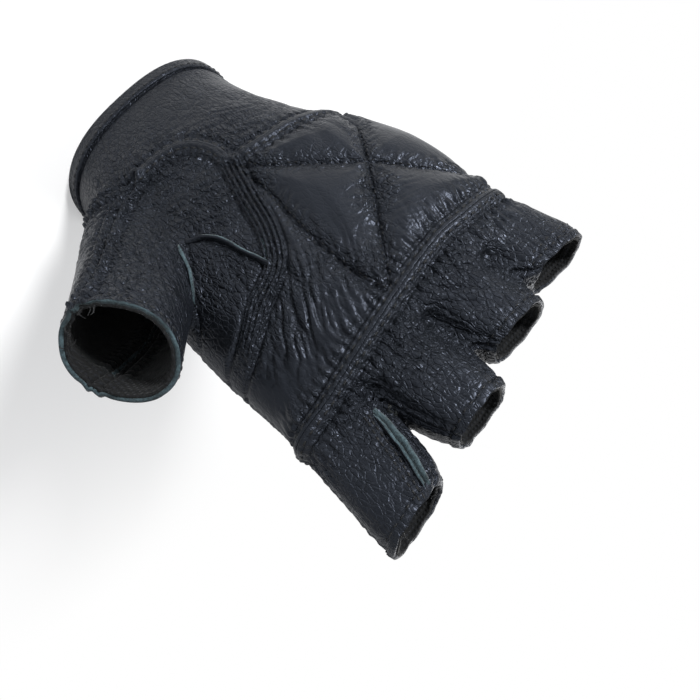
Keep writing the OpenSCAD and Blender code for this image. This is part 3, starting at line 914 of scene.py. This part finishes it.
# %% Leather
def leather_material(name, dark, light, grain_depth):
    made, tree = new_material(name)
    place = add_node(tree, "ShaderNodeTexCoord").outputs["Object"]
    crease = add_node(tree, "ShaderNodeAttribute", attribute_name="creased").outputs["Fac"]
    drift = add_node(tree, "ShaderNodeTexNoise", {"Vector": place, "Scale": per_metre(2.5), "Detail": 3.0})
    bent = add_node(tree, "ShaderNodeVectorMath", {0: drift.outputs["Color"], 1: (0.0009, 0.0009, 0.0009)},
                    operation="MULTIPLY")
    bent = add_node(tree, "ShaderNodeVectorMath", {0: place, 1: bent.outputs[0]}, operation="ADD").outputs[0]
    stretched = add_node(tree, "ShaderNodeMapping", {"Vector": bent, "Rotation": (0.2, 0.9, 0.3),
                                                     "Scale": (1.0, 1.0, 0.62)}).outputs[0]
    pebble = add_node(tree, "ShaderNodeTexVoronoi", {"Vector": stretched, "Scale": per_metre(1.45)},
                      feature="DISTANCE_TO_EDGE")
    furrow = add_node(tree, "ShaderNodeMapRange", {"Value": pebble.outputs["Distance"], "From Max": 0.15},
                      interpolation_type="SMOOTHSTEP")
    field = add_node(tree, "ShaderNodeTexVoronoi", {"Vector": stretched, "Scale": per_metre(4.6)},
                     feature="DISTANCE_TO_EDGE")
    field = add_node(tree, "ShaderNodeMapRange", {"Value": field.outputs["Distance"], "From Max": 0.08},
                     interpolation_type="SMOOTHSTEP")
    pores = add_node(tree, "ShaderNodeTexNoise", {"Vector": bent, "Scale": per_metre(0.7), "Detail": 1.0})
    turned = add_node(tree, "ShaderNodeMapping", {"Vector": bent, "Rotation": (0.2, 0.9, 0.3),
                                                  "Scale": (1.0, 1.0, 0.2)})
    lines = add_node(tree, "ShaderNodeTexNoise", {"Vector": turned.outputs[0], "Scale": per_metre(2.4),
                                                  "Detail": 1.0, "Roughness": 0.5})
    folded = add_node(tree, "ShaderNodeMath", {0: lines.outputs["Fac"], 1: 0.5}, operation="SUBTRACT")
    folded = add_node(tree, "ShaderNodeMath", {0: folded.outputs[0]}, operation="ABSOLUTE")
    folded = add_node(tree, "ShaderNodeMath", {0: folded.outputs[0], 1: 8.0}, operation="MULTIPLY",
                      use_clamp=True)
    mosaic = add_node(tree, "ShaderNodeMath", {0: field.outputs[0], 1: 0.8, 2: furrow.outputs[0]},
                      operation="MULTIPLY_ADD")
    mosaic = add_node(tree, "ShaderNodeMath", {0: pores.outputs["Fac"], 1: 0.3, 2: mosaic.outputs[0]},
                      operation="MULTIPLY_ADD")
    opened = add_node(tree, "ShaderNodeMapRange", {"Value": crease, "To Min": 0.1, "To Max": 1.2})
    mosaic = add_node(tree, "ShaderNodeMath", {0: mosaic.outputs[0], 1: opened.outputs[0]},
                      operation="MULTIPLY")
    creases = add_node(tree, "ShaderNodeMath", {0: folded.outputs[0], 1: crease}, operation="MULTIPLY")
    valley = add_node(tree, "ShaderNodeMath", {0: furrow.outputs[0], 1: -1.0, 2: 1.0},
                      operation="MULTIPLY_ADD")
    valley = add_node(tree, "ShaderNodeMath", {0: valley.outputs[0], 1: opened.outputs[0]},
                      operation="MULTIPLY")
    height = add_node(tree, "ShaderNodeMath", {0: creases.outputs[0], 1: 1.2, 2: mosaic.outputs[0]},
                      operation="MULTIPLY_ADD")
    bump = add_node(tree, "ShaderNodeBump", {"Height": height.outputs[0], "Distance": grain_depth * MM,
                                             "Strength": 1.0})
    cloud = add_node(tree, "ShaderNodeTexNoise", {"Vector": place, "Scale": per_metre(14), "Detail": 4.0})
    tone = add_node(tree, "ShaderNodeMath", {0: mosaic.outputs[0], 1: 0.2, 2: cloud.outputs["Fac"]},
                    operation="MULTIPLY_ADD")
    colour = add_node(tree, "ShaderNodeMix", {"Factor": tone.outputs[0], "A": linear(dark),
                                              "B": linear(light)},
                      data_type="RGBA")
    gloss = add_node(tree, "ShaderNodeMapRange",
                     {"Value": cloud.outputs["Fac"], "From Min": 0.3, "From Max": 0.7,
                                                  "To Min": 0.3, "To Max": 0.4})
    gloss = add_node(tree, "ShaderNodeMath", {0: valley.outputs[0], 1: 0.3, 2: gloss.outputs[0]},
                     operation="MULTIPLY_ADD")
    shader = add_node(tree, "ShaderNodeBsdfPrincipled", {
        "Base Color": colour.outputs["Result"], "Roughness": gloss.outputs[0], "IOR": 1.5,
        "Specular IOR Level": 0.27, "Specular Tint": linear("#cad5ee"),
        "Sheen Weight": 0.02, "Sheen Roughness": 0.4, "Sheen Tint": linear("#8792ad"),
        "Normal": bump.outputs[0]})
    finish_material(tree, shader)
    return made


LEATHER_BLACK = leather_material("drum_dyed_black_leather", "#060708", "#101215", 0.34)
LEATHER_STRAP = leather_material("strap_leather", "#060708", "#0f1114", 0.18)

# %% [markdown]
# ### Raw edges and the flesh side
# Where leather is cut, its fibres show: a dull grey-green suede that scatters light evenly, with a short nap. The
# flesh side has the same nap, but its near-black colours are painted shade for the inside of the glove.


# %% Suede
def suede_material(name, dark, light):
    made, tree = new_material(name)
    place = add_node(tree, "ShaderNodeTexCoord").outputs["Object"]
    nap = add_node(tree, "ShaderNodeTexNoise", {"Vector": place, "Scale": per_metre(0.6), "Detail": 4.0})
    patches = add_node(tree, "ShaderNodeTexNoise", {"Vector": place, "Scale": per_metre(4), "Detail": 3.0})
    tone = add_node(tree, "ShaderNodeMath", {0: nap.outputs["Fac"], 1: patches.outputs["Fac"]},
                    operation="MULTIPLY")
    tone = add_node(tree, "ShaderNodeMapRange",
                    {"Value": tone.outputs[0], "From Min": 0.1, "From Max": 0.42})
    colour = add_node(tree, "ShaderNodeMix", {"Factor": tone.outputs[0], "A": linear(dark),
                                              "B": linear(light)},
                      data_type="RGBA")
    bump = add_node(tree, "ShaderNodeBump", {"Height": nap.outputs["Fac"], "Distance": 0.25 * MM})
    shader = add_node(tree, "ShaderNodeBsdfPrincipled", {
        "Base Color": colour.outputs["Result"], "Roughness": 0.9, "Specular IOR Level": 0.2,
        "Sheen Weight": 0.1,
        "Normal": bump.outputs[0]})
    finish_material(tree, shader)
    return made


RAW_EDGE = suede_material("raw_cut_edge", "#171f22", "#43545a")
# The flesh side's colours are near black, far darker than the same fibres at the raw edge: painted shade for the
# inside of the glove and the underside of the strap.
FLESH_SIDE_IN_PAINTED_SHADE = suede_material("flesh_side_in_painted_shade", "#0b0d0e", "#1c2022")

# %% [markdown]
# ### Fibres
# Thread, tape, foam and fastener are all fibres at different pitches: crossing bands make the weave or pile, and
# noise breaks it up. Thread and tape are drawn a little coarser than real, because their yarn is too fine to show.


# %% Thread, tape, foam and fastener
def fibre_material(name, dark, light, pitch, depth, roughness):
    """Woven or matted fibres: crossing bands at the pitch of the yarn, broken up by noise."""
    made, tree = new_material(name)
    place = add_node(tree, "ShaderNodeTexCoord").outputs["Object"]
    bands = [add_node(tree, "ShaderNodeTexWave",
                      {"Vector": place, "Scale": per_metre(pitch * 6.28), "Distortion": 1.5,
                                                  "Detail": 1.0}, bands_direction=axis)
             for axis in ("X", "Z")]
    weave = add_node(tree, "ShaderNodeMath", {0: bands[0].outputs["Fac"], 1: bands[1].outputs["Fac"]},
                     operation="MULTIPLY")
    fuzz = add_node(tree, "ShaderNodeTexNoise",
                    {"Vector": place, "Scale": per_metre(pitch * 0.8), "Detail": 3.0})
    height = add_node(tree, "ShaderNodeMath", {0: weave.outputs[0], 1: fuzz.outputs["Fac"]}, operation="ADD")
    bump = add_node(tree, "ShaderNodeBump", {"Height": height.outputs[0], "Distance": depth * MM})
    colour = add_node(tree, "ShaderNodeMix", {"Factor": weave.outputs[0], "A": linear(dark),
                                              "B": linear(light)},
                      data_type="RGBA")
    shader = add_node(tree, "ShaderNodeBsdfPrincipled", {
        "Base Color": colour.outputs["Result"], "Roughness": roughness, "Specular IOR Level": 0.2,
        "Sheen Weight": 0.03,
        "Normal": bump.outputs[0]})
    finish_material(tree, shader)
    return made


THREAD = fibre_material("bonded_black_thread", "#0a0b0c", "#1a1c20", 0.3, 0.1, 0.5)
# The hem tape is dark woven tape, and its colours are darkened further to near black: partly its own colour, partly
# painted shade for the inside of the openings.
HEM_TAPE_IN_PAINTED_SHADE = fibre_material("woven_hem_tape_in_painted_shade", "#08090a", "#14161a", 0.6, 0.2, 0.85)
FOAM = fibre_material("palm_foam", "#2a2c2e", "#3c3f42", 0.8, 0.2, 0.95)
HOOKS = fibre_material("hook_fastener", "#0c0d0e", "#2c2f33", 1.4, 0.7, 0.55)
LOOPS = fibre_material("loop_fastener", "#111214", "#26292d", 0.7, 0.6, 0.95)

# %% [markdown]
# ## Leather panels
# Each panel is the part of the skin that carries its number. Solidify grows the leather inwards, with the flesh
# side within and the raw edge on the rim. Where two panels lap, one of them lies a little higher.


# %% Panels
RAW_RIMS = ("thumb_front", "thumb_back", "thumb_gusset")
LAPS = {"palm_panel": 0.15, "finger_panel": -0.1, "heel_panel": -0.1, "thumb_front": 0.1}


def skin_part(name, wanted, lift=None):
    """The faces of the skin that wanted picks, as a mesh of their own; lift moves points outwards, in mm."""
    bm = bmesh.new()
    bm.from_mesh(skin_mesh)
    bmesh.ops.delete(bm, geom=[f for f, keep in zip(bm.faces, wanted) if not keep], context="FACES")
    out = bm.verts.layers.float_vector["skin_normal"]
    if lift is not None:
        for v in bm.verts:
            v.co += lift(v.co / MM) * MM * v[out]
    for f in bm.faces:
        f.material_index = 0
        f.smooth = True
    area = sum(f.calc_area() for f in bm.faces)
    part = bpy.data.meshes.new(name)
    bm.to_mesh(part)
    bm.free()
    return part, area


def add_thickness(obj, thickness, materials, offset=-1):
    """Solidify with the first material outside, the second within and the last on the rim."""
    for m in materials:
        obj.data.materials.append(m)
    wall = obj.modifiers.new("thickness", "SOLIDIFY")
    wall.thickness = thickness * MM
    wall.offset = offset
    wall.use_quality_normals = True
    wall.material_offset = min(1, len(materials) - 1)
    wall.material_offset_rim = len(materials) - 1
    return obj


def declare_leather(obj, area, length):
    """A panel's flat length along the hand and a width that suits its area, worked out but not used."""
    length = max(length * MM, 0.011)
    width = max(area / length * 1.15, 0.011)
    min(area, width * length)


lap_rows = [row for found in TOPSTITCHED.values() for rows in found for row in rows]
lapped = KDTree(len(lap_rows))
for i, row in enumerate(lap_rows):
    lapped.insert(row[:3], i)
lapped.balance()
panel_area = {}
for number, name in enumerate(PANELS):
    step = LAPS.get(name, 0)
    lift = (lambda p: step * math.exp(-((lapped.find(p)[2] / 2.2) ** 2))) if step else None
    part, area = skin_part(name + "_leather", panel_of_face == number, lift)
    rim = RAW_EDGE if name in RAW_RIMS else LEATHER_BLACK
    piece = add_thickness(new_object(name + "_leather", part), LEATHER, [LEATHER_BLACK, FLESH_SIDE_IN_PAINTED_SHADE, rim])
    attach(piece, "glove")
    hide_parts(name)
    low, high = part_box(name)
    declare_leather(piece, area, (high[2] - low[2]) / MM)
    panel_area[name] = round(area * 1e6)
print("panel areas in square mm:", panel_area)

# %% [markdown]
# ## Stitches
# A stitch seen from outside is a short rounded bar of thread that dips into a hole at both ends. Thousands of
# them would be wasteful as tubes, so each is a small stretched sphere with a few dozen faces, laid on the
# leather along its seam.


# %% Thread
def lay_stitches(name, row, length=1.7, radius=0.3, sink=0.05):
    bm = bmesh.new()
    for place, ahead, out in row:
        hit, facing, _, _ = skin_tree.find_nearest(Vector(place) + Vector(out))
        x_way = Vector(ahead).normalized()
        z_way = (Vector(out) - Vector(out).dot(x_way) * x_way).normalized()
        turn = Matrix((x_way * length / 2, z_way.cross(x_way) * radius, z_way
                       * radius)).transposed().to_4x4()
        bmesh.ops.create_uvsphere(bm, u_segments=6, v_segments=4, radius=1,
                                  matrix=Matrix.Translation(hit - sink * z_way) @ turn)
    bmesh.ops.recalc_face_normals(bm, faces=bm.faces)
    bmesh.ops.scale(bm, vec=(MM, MM, MM), verts=bm.verts)
    for f in bm.faces:
        f.smooth = True
    mesh = bpy.data.meshes.new(name)
    bm.to_mesh(mesh)
    bm.free()
    mesh.materials.append(THREAD)
    piece = new_object(name, mesh)
    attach(piece, "glove")
    return piece


for name, row in ROWS.items():
    if row:
        lay_stitches(name + "_stitches", row, *((1.9, 0.34) if name in TOPSTITCHED else (1.2, 0.2)))

# %% [markdown]
# ### Hem stitches
# Every opening is turned in and held by one row of stitches close to its edge, and the little finger's by two.
# The open edges of the skin are walked just as the seams were, and the row is drawn a few millimetres inside.

# %% Rows along the openings
EDGE_RUNS = [resample(np.hstack([base[run], normals[run]])) for run in walk(rims) if len(run) > 20]


def inset_rows(rows, inward, inset, pitch):
    """Stitches along an open edge, moved inward from it over the leather."""
    row = []
    for place, ahead, out in row_beside(rows, 0, pitch):
        row.append((place + inset * np.array(inward), ahead, out))
    return row


cuff_rows, hem_rows, thumb_rows = [], [], []
for rows in EDGE_RUNS:
    if rows[:, 2].mean() > 130:
        hem_rows += inset_rows(rows, (0, 0, -1), 2.8, 2.4)
        if rows[:, 0].mean() < -30:
            hem_rows += inset_rows(rows, (0, 0, -1), 4.8, 2.4)
    elif rows[:, 0].mean() > 40:
        thumb_rows += inset_rows(rows, -THUMB_OUT, 2.4, 2.4)
    else:
        low = rows[rows[:, 2] < FOOT + 0.6]
        cuff_rows += inset_rows(low, (0, 0, 1), BINDING_TOP - FOOT - 0.9, 2.4)
lay_stitches("finger_hem_stitches", hem_rows, 1.6, 0.26)
lay_stitches("thumb_hem_stitches", thumb_rows)
print("hem stitches:", len(hem_rows), len(thumb_rows), "and", len(cuff_rows), "on the binding")

# %% [markdown]
# ### Cut thread ends
# A quick workshop leaves the ends of its threads standing at the openings. Each is a thin tube that a seeded
# random walk bends, grown with the same extrusion as the stalls but from a circle of five points.


# %% Thread ends
def thread_end(bm, place, heading, length, radius=0.14, steps=7):
    heading = Vector(heading).normalized()
    turn = heading.to_track_quat("Z", "Y").to_matrix().to_4x4()
    ring = bmesh.ops.create_circle(bm, segments=5, radius=radius, cap_ends=True,
                                   matrix=Matrix.Translation(place) @ turn)["verts"]
    edges = list({e for v in ring for e in v.link_edges})
    for step in range(steps):
        heading += Vector([DRAW.uniform(-0.45, 0.45) for axis in range(3)])
        heading.normalize()
        grown = bmesh.ops.extrude_edge_only(bm, edges=edges)["geom"]
        ring = [v for v in grown if isinstance(v, bmesh.types.BMVert)]
        bmesh.ops.translate(bm, verts=ring, vec=heading * length / steps)
        edges = [e for e in {e for v in ring for e in v.link_edges} if e.verts[0] in ring
                 and e.verts[1] in ring]
    bmesh.ops.edgeloop_fill(bm, edges=edges)


DRAW = random.Random(11)
bm = bmesh.new()
for rows in EDGE_RUNS:
    on_thumb = rows[:, 0].mean() > 40 and rows[:, 2].mean() < 130
    on_index = rows[:, 0].mean() > 25 and rows[:, 2].mean() > 130
    if on_thumb or on_index:
        out_way = THUMB_OUT if on_thumb else Vector((0.2, -0.2, 1))
        for start in DRAW.sample(range(len(rows)), 5 if on_thumb else 3):
            for end in range(3):
                row = rows[(start + 2 * end) % len(rows)]
                inward = Vector(row[:3]) - 0.9 * Vector(row[3:6]) - 0.6 * out_way
                thread_end(bm, inward, out_way * 0.8 - 0.9 * Vector(row[3:6]), DRAW.uniform(1.8, 4.5))
bmesh.ops.recalc_face_normals(bm, faces=bm.faces)
bmesh.ops.scale(bm, vec=(MM, MM, MM), verts=bm.verts)
mesh = bpy.data.meshes.new("thread_ends")
bm.to_mesh(mesh)
bm.free()
mesh.materials.append(THREAD)
ends = new_object("thread_ends", mesh)
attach(ends, "glove")
print("thread ends:", len(mesh.polygons), "faces")

# %% [markdown]
# ## Raw seam edges
# Three seams are sewn with the cut edges outside, which is quicker to sew and shows as a thin double fin. Each
# fin is a grid laid along its seam and stood up, with the black grain on one side and suede where it was cut.


# %% Fins
def raw_fin(name, rows, height, lean, thick, materials):
    """Two layers of leather that stand up along a seam; they get lower towards both ends."""
    feet = [[*skin_tree.find_nearest(Vector(row[:3]) + Vector(row[3:6]))[0], *row[3:6]] for row in rows]
    for repeat in range(4):
        feet = resample(feet)
    rows, steps = feet, len(feet) - 1
    bm = bmesh.new()
    bmesh.ops.create_grid(bm, x_segments=steps, y_segments=3, size=0.5)
    ahead = np.gradient(rows[:, :3], axis=0)
    for v in bm.verts:
        i = round((v.co.x + 0.5) * steps)
        up = v.co.y + 0.5
        out = Vector(rows[i, 3:6]).normalized()
        across = Vector(ahead[i]).normalized().cross(out)
        foot = Vector(rows[i, :3])
        wave = 0.85 + 0.15 * noise.noise(foot * 0.35)
        tall = height * wave * math.sin(math.pi * min(max(i / steps, 0.02), 0.98)) ** 0.5
        v.co = foot + out * (tall * up - 0.5) + across * (lean * up**1.5 + 0.3 * noise.noise(foot * 0.25)
                                                          * up)
    bmesh.ops.recalc_face_normals(bm, faces=bm.faces)
    bmesh.ops.scale(bm, vec=(MM, MM, MM), verts=bm.verts)
    for f in bm.faces:
        f.smooth = True
    mesh = bpy.data.meshes.new(name)
    bm.to_mesh(mesh)
    bm.free()
    fin = add_thickness(new_object(name, mesh), thick, materials, offset=0)
    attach(fin, "glove")
    return fin


def on_skin(points):
    """Given points in mm, put on the skin with its outward direction."""
    rows = []
    for p in smooth_line(points):
        hit, facing, _, _ = base_tree.find_nearest(Vector(p))
        rows.append([*hit, *facing])
    return resample(rows)


INDEX_FIN = on_skin([(28.4, -16, 133), (30, -16, 139), (32, -15, 146), (34.4, -14, 152), (36.2, -13, 157)])
WEB_TOP_FIN = on_skin([(16.3, -25, 87.2), (17, -26, 84), (18.4, -27, 79.2), (19.2, -27, 72), (22, -27, 64.3),
                       (26, -27, 59.8)])
WEB_SIDE_FIN = on_skin([(26.6, -27, 60.6), (29.8, -25.6, 67.2), (34.2, -24.2, 73.4), (37, -18.5, 75)])
raw_fin("web_top_raw_edge", WEB_TOP_FIN, 1.9, 1.3, 0.8, [LEATHER_BLACK, LEATHER_BLACK, RAW_EDGE])
raw_fin("web_side_raw_edge", WEB_SIDE_FIN, 1.7, 0.6, 1.0, [LEATHER_BLACK, LEATHER_BLACK, RAW_EDGE])
raw_fin("index_raw_edge_1", INDEX_FIN, 2.2, -0.3, 0.9, [LEATHER_BLACK, LEATHER_BLACK, RAW_EDGE])
raw_fin("index_raw_edge_2", INDEX_FIN + np.array([-1.0, 0.4, 0, 0, 0, 0]), 3.6, -0.9, 0.9,
        [RAW_EDGE, RAW_EDGE, RAW_EDGE])
lay_stitches("index_fin_stitches", [s for shift in (1.6, 3.2) for s in row_beside(INDEX_FIN, shift, 2.2)])

# %% [markdown]
# ## Pieces inside and around the leather
# Tape is sewn inside every opening, so that it doesn't stretch, and foam lies behind the palm leather. Both are
# offset copies of the skin, which keeps them clear of the leather by the same gap everywhere.


# %% Tapes and foam
def inner_piece(name, wanted, lift, thickness, material, node):
    part, area = skin_part(name, wanted, lambda p: lift)
    piece = add_thickness(new_object(name, part), thickness, [material])
    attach(piece, "glove")
    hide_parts(node)
    return piece, area


for number, name in enumerate(STALLS):
    at_hem = (nearest_stall(face_middles) == number) & (mouth_gap(number, face_middles) > -TAPE_WIDTH)
    tape, area = inner_piece(name + "_tape", at_hem & (face_middles[:, 2] > 130), -LEATHER - 0.05, TAPE,
                             HEM_TAPE_IN_PAINTED_SHADE,
                             name + "_hem_tape")
    declare_leather(tape, area, TAPE_WIDTH * 1.5)
at_hem = on_thumb_tube(face_middles) & (thumb_mouth(face_middles) > -TAPE_WIDTH)
tape, area = inner_piece("thumb_tape", at_hem, -LEATHER - 0.05, TAPE, HEM_TAPE_IN_PAINTED_SHADE, "thumb_hem_tape")
declare_leather(tape, area, TAPE_WIDTH * 1.5)
deep_inside = (panel_of_face == NUMBER["palm_panel"]) & (side_of(THUMB_LOOP, face_middles) > 5)
deep_inside &= (over(CUFF_SEAM, face_middles) > 6) & (over(FINGER_SEAM, face_middles) <
                                                      -6) & (to_back(face_middles) < -5)
foam, _ = inner_piece("palm_foam_pad", deep_inside, -LEATHER - 0.1, 3, FOAM, "palm_foam")

# %% [markdown]
# ### Binding
# A strip of leather is folded over the cuff edge and stitched through. Solidify makes the folded strip's outline
# around the edge, its open top is deleted, and a second Solidify gives the strip its own thickness.

# %% Wrist binding
part, area = skin_part("binding", face_middles[:, 2] < BINDING_TOP, lambda p: 1.0)
part.materials.append(LEATHER_BLACK)
work = add_thickness(new_object("binding", part), LEATHER + 2, [FLESH_SIDE_IN_PAINTED_SHADE])
bm = bmesh.new()
bm.from_mesh(with_modifiers(work, "binding"))
open_top = [f for f in bm.faces if f.material_index == 1 and f.calc_center_median().z > (BINDING_TOP - 1.2)
            * MM]
bmesh.ops.delete(bm, geom=open_top, context="FACES")
for v in bm.verts:
    if v.co.z < (FOOT + 0.3) * MM:
        v.co.z -= (FOOT - 0.1) * MM
for f in bm.faces:
    f.material_index = 0
    f.smooth = True
mesh = bpy.data.meshes.new("cuff_binding")
bm.to_mesh(mesh)
bm.free()
binding = add_thickness(new_object("cuff_binding", mesh), 0.85, [LEATHER_STRAP])
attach(binding, "glove")
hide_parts("wrist_binding")
lay_stitches("binding_stitches", [(p + 1.1 * o, a, o) for p, a, o in cuff_rows], sink=-0.95)

# %% [markdown]
# ## Closing strap
# A leather strap is sewn to the little finger's side of the cuff and folds across the slit, where hook-and-loop
# tape holds it. It bends at its fold, so one piece of leather is blended between the glove and the tab.


# %% Strap
FOLD_X, STRAP_LENGTH, STRAP_LOW, STRAP_WIDTH, STRAP_LEATHER = -23, 52, 10, 24, 1.6
SEWN_LENGTH = 9.5
RAISED = 2.15


def back_of_hand(x, z):
    """The place of the smooth form on the back of the cuff."""
    ring = body_ring(z)
    right, left, up = ring(0.0), ring(math.pi), ring(math.pi / 2)
    centre_x, half, centre_y = (right.x + left.x) / 2, (right.x - left.x) / 2, right.y
    share = min(abs(x - centre_x) / half, 0.999)
    cosine = share ** (1 / 0.8)
    sine = math.sqrt(1 - cosine**2)
    y = centre_y + (up.y - centre_y) * sine**0.8
    return Vector((x, y, z))


def strap_place(x, z, lift):
    here = back_of_hand(x, z)
    ahead = back_of_hand(x + 0.5, z) - back_of_hand(x - 0.5, z)
    rise = back_of_hand(x, z + 0.5) - back_of_hand(x, z - 0.5)
    out = rise.cross(ahead).normalized()
    out = out if out.y > 0 else -out
    return here + out * lift, ahead.normalized(), out


def strap_lift(x):
    t = float(clamp01((x - FOLD_X + 6) / 5.5))
    return 0.15 + (RAISED - 0.15) * t * t * (3 - 2 * t)


strap_start, strap_tip = FOLD_X - SEWN_LENGTH, FOLD_X + STRAP_LENGTH
round_start = strap_tip - STRAP_WIDTH / 2
middle_z = STRAP_LOW + STRAP_WIDTH / 2
bm = bmesh.new()
bmesh.ops.create_grid(bm, x_segments=90, y_segments=24, size=0.5)
STRAIGHT = 0.82
for v in bm.verts:
    u, w = v.co.x + 0.5, 2 * v.co.y
    half = STRAP_WIDTH / 2
    x = strap_start + (round_start - strap_start) * min(u / STRAIGHT, 1)
    if u > STRAIGHT:
        turn = math.pi / 2 * (u - STRAIGHT) / (1 - STRAIGHT)
        x += half * math.sin(turn)
        half *= math.cos(turn)
    v.co = strap_place(x, middle_z + w * half, strap_lift(x) + 0.12
                       * noise.noise(Vector((x, w * half, 0)) * 0.2))[0]
bmesh.ops.remove_doubles(bm, verts=bm.verts, dist=0.02)
bmesh.ops.recalc_face_normals(bm, faces=bm.faces)
if sum(f.normal.y for f in bm.faces) < 0:
    bmesh.ops.reverse_faces(bm, faces=bm.faces)
bmesh.ops.scale(bm, vec=(MM, MM, MM), verts=bm.verts)
for f in bm.faces:
    f.smooth = True
strap_area = sum(f.calc_area() for f in bm.faces)
mesh = bpy.data.meshes.new("wrist_strap")
bm.to_mesh(mesh)
bm.free()
strap = add_thickness(new_object("wrist_strap", mesh), STRAP_LEATHER,
                      [LEATHER_STRAP, FLESH_SIDE_IN_PAINTED_SHADE, LEATHER_STRAP], offset=1)
BEND_FROM, BEND_TO = Vector((FOLD_X - 0.5, 11.5, 22)) * MM, Vector((FOLD_X + 5, 12.2, 22)) * MM
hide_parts("closure_tab", "tab_sewn_end")

BORDER = 2.2
reach = STRAP_WIDTH / 2 - BORDER
border = [(x, middle_z - reach) for x in np.arange(strap_start + BORDER, round_start, 2.4)]
border += [(round_start + reach * math.cos(a), middle_z + reach * math.sin(a))
           for a in np.linspace(-1.5, 1.5, 13)]
border += [(x, middle_z + reach) for x in np.arange(round_start, strap_start + BORDER, -2.4)]
border += [(strap_start + BORDER, z) for z in np.arange(middle_z - reach + 2.4, middle_z + reach, 2.4)]
bm = bmesh.new()
for (x, z), (next_x, next_z) in zip(border, border[1:]):
    if math.hypot(next_x - x, next_z - z) > 4:
        continue
    place, along, out = strap_place(x, z, strap_lift(x) + STRAP_LEATHER + 0.05)
    x_way = (strap_place(next_x, next_z, 0)[0] - strap_place(x, z, 0)[0]).normalized()
    turn = Matrix((x_way * 0.85, out.cross(x_way) * 0.3, out * 0.3)).transposed().to_4x4()
    bmesh.ops.create_uvsphere(bm, u_segments=6, v_segments=4, radius=1,
                              matrix=Matrix.Translation(place) @ turn)
bmesh.ops.recalc_face_normals(bm, faces=bm.faces)
bmesh.ops.scale(bm, vec=(MM, MM, MM), verts=bm.verts)
mesh = bpy.data.meshes.new("strap_stitches")
bm.to_mesh(mesh)
bm.free()
mesh.materials.append(THREAD)
strap_thread = new_object("strap_stitches", mesh)
for piece in (strap, strap_thread):
    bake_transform(piece, "glove", "tab", start=BEND_FROM, end=BEND_TO)

# %% [markdown]
# ### Hook-and-loop tape
# Two woven patches, one with stiff hooks and one with a felt of loops. Their shapes are plain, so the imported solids
# stay as they are and only get their own finish.

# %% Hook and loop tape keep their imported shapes
for name, finish in (("hook_patch", HOOKS), ("loop_patch", LOOPS)):
    cad_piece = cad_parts[name]
    for material_slot in cad_piece.material_slots:
        material_slot.material = finish

# %% [markdown]
# ## Light, floor and surroundings
# Black leather shows its shape only by what it reflects. One fairly small lamp high on the little finger's side
# gives the grain crisp glints, a weak wide one keeps the other side readable, and a third lights the back.

# %% Lamps
def area_light(name, place, size, watts, target=(10, -15, 75)):
    lamp = bpy.data.lights.new(name, "AREA")
    lamp.shape = "DISK"
    lamp.size = size
    lamp.energy = watts
    obj = bpy.data.objects.new(name, lamp)
    bpy.context.collection.objects.link(obj)
    obj.location = Vector(place)
    obj.rotation_euler = (Vector(target) * MM - obj.location).to_track_quat("-Z", "Y").to_euler()
    return obj


area_light("window", (-0.5, -0.6, 0.5), 0.22, 13)
area_light("fill", (0.5, -0.6, 0.6), 0.8, 1.0)
area_light("rim", (-0.2, 0.7, 0.6), 0.6, 3)

# %% [markdown]
# ### Floor
# A sheet of white paper. It takes the glove's shadow close by, and further out it fades to an even white that only
# the camera sees, as a paper sweep does when it is lit on its own. No extra light falls on the glove from it.

# %% White paper
bm = bmesh.new()
bmesh.ops.create_grid(bm, x_segments=1, y_segments=1, size=3)
mesh = bpy.data.meshes.new("floor")
bm.to_mesh(mesh)
bm.free()
floor = new_object("floor", mesh)
paper, tree = new_material("white_paper")
matt = add_node(tree, "ShaderNodeBsdfPrincipled", {"Base Color": linear("#f6f6f6"), "Roughness": 0.9,
                                                   "Specular IOR Level": 0.1})
glow = add_node(tree, "ShaderNodeEmission", {"Color": linear("#ffffff"), "Strength": 1.0})
away = add_node(tree, "ShaderNodeVectorMath", {0: add_node(tree, "ShaderNodeTexCoord").outputs["Object"]},
                operation="LENGTH")
far = add_node(tree, "ShaderNodeMapRange", {"Value": away.outputs["Value"], "From Min": 0.06,
                                            "From Max": 0.3,
                                            "To Min": 0.35, "To Max": 1.0}, interpolation_type="SMOOTHSTEP")
seen = add_node(tree, "ShaderNodeMath", {0: add_node(tree, "ShaderNodeLightPath").outputs["Is Camera Ray"],
                                         1: far.outputs[0]}, operation="MULTIPLY")
swept = add_node(tree, "ShaderNodeMixShader", {0: seen.outputs[0], 1: matt.outputs[0], 2: glow.outputs[0]})
add_node(tree, "ShaderNodeOutputMaterial", {"Surface": swept.outputs[0]})
mesh.materials.append(paper)

# %% [markdown]
# ### Surroundings
# The world is a dim, slightly cool room for diffuse light, and plain white where the camera or a reflection
# looks at it, so that the glossy leather mirrors the same background that is seen behind it.

# %% Studio
world = bpy.data.worlds.new("studio")
bpy.context.scene.world = world
world.use_nodes = True
tree = world.node_tree
tree.nodes.clear()
rays = add_node(tree, "ShaderNodeLightPath")
seen = add_node(tree, "ShaderNodeMath", {0: rays.outputs["Is Camera Ray"], 1: rays.outputs["Is Glossy Ray"]},
                operation="MAXIMUM")
seen = add_node(tree, "ShaderNodeMath", {0: seen.outputs[0], 1: rays.outputs["Is Transmission Ray"]},
                operation="MAXIMUM")
ambient = add_node(tree, "ShaderNodeBackground", {"Color": linear("#f2f5fa"), "Strength": 0.35})
white = add_node(tree, "ShaderNodeBackground", {"Color": linear("#ffffff"), "Strength": 1.0})
mixed = add_node(tree, "ShaderNodeMixShader", {0: seen.outputs[0], 1: ambient.outputs[0],
                                               2: white.outputs[0]})
add_node(tree, "ShaderNodeOutputWorld", {"Surface": mixed.outputs[0]})

bpy.context.scene.view_settings.view_transform = "Standard"
bpy.data.meshes.remove(skin_mesh)
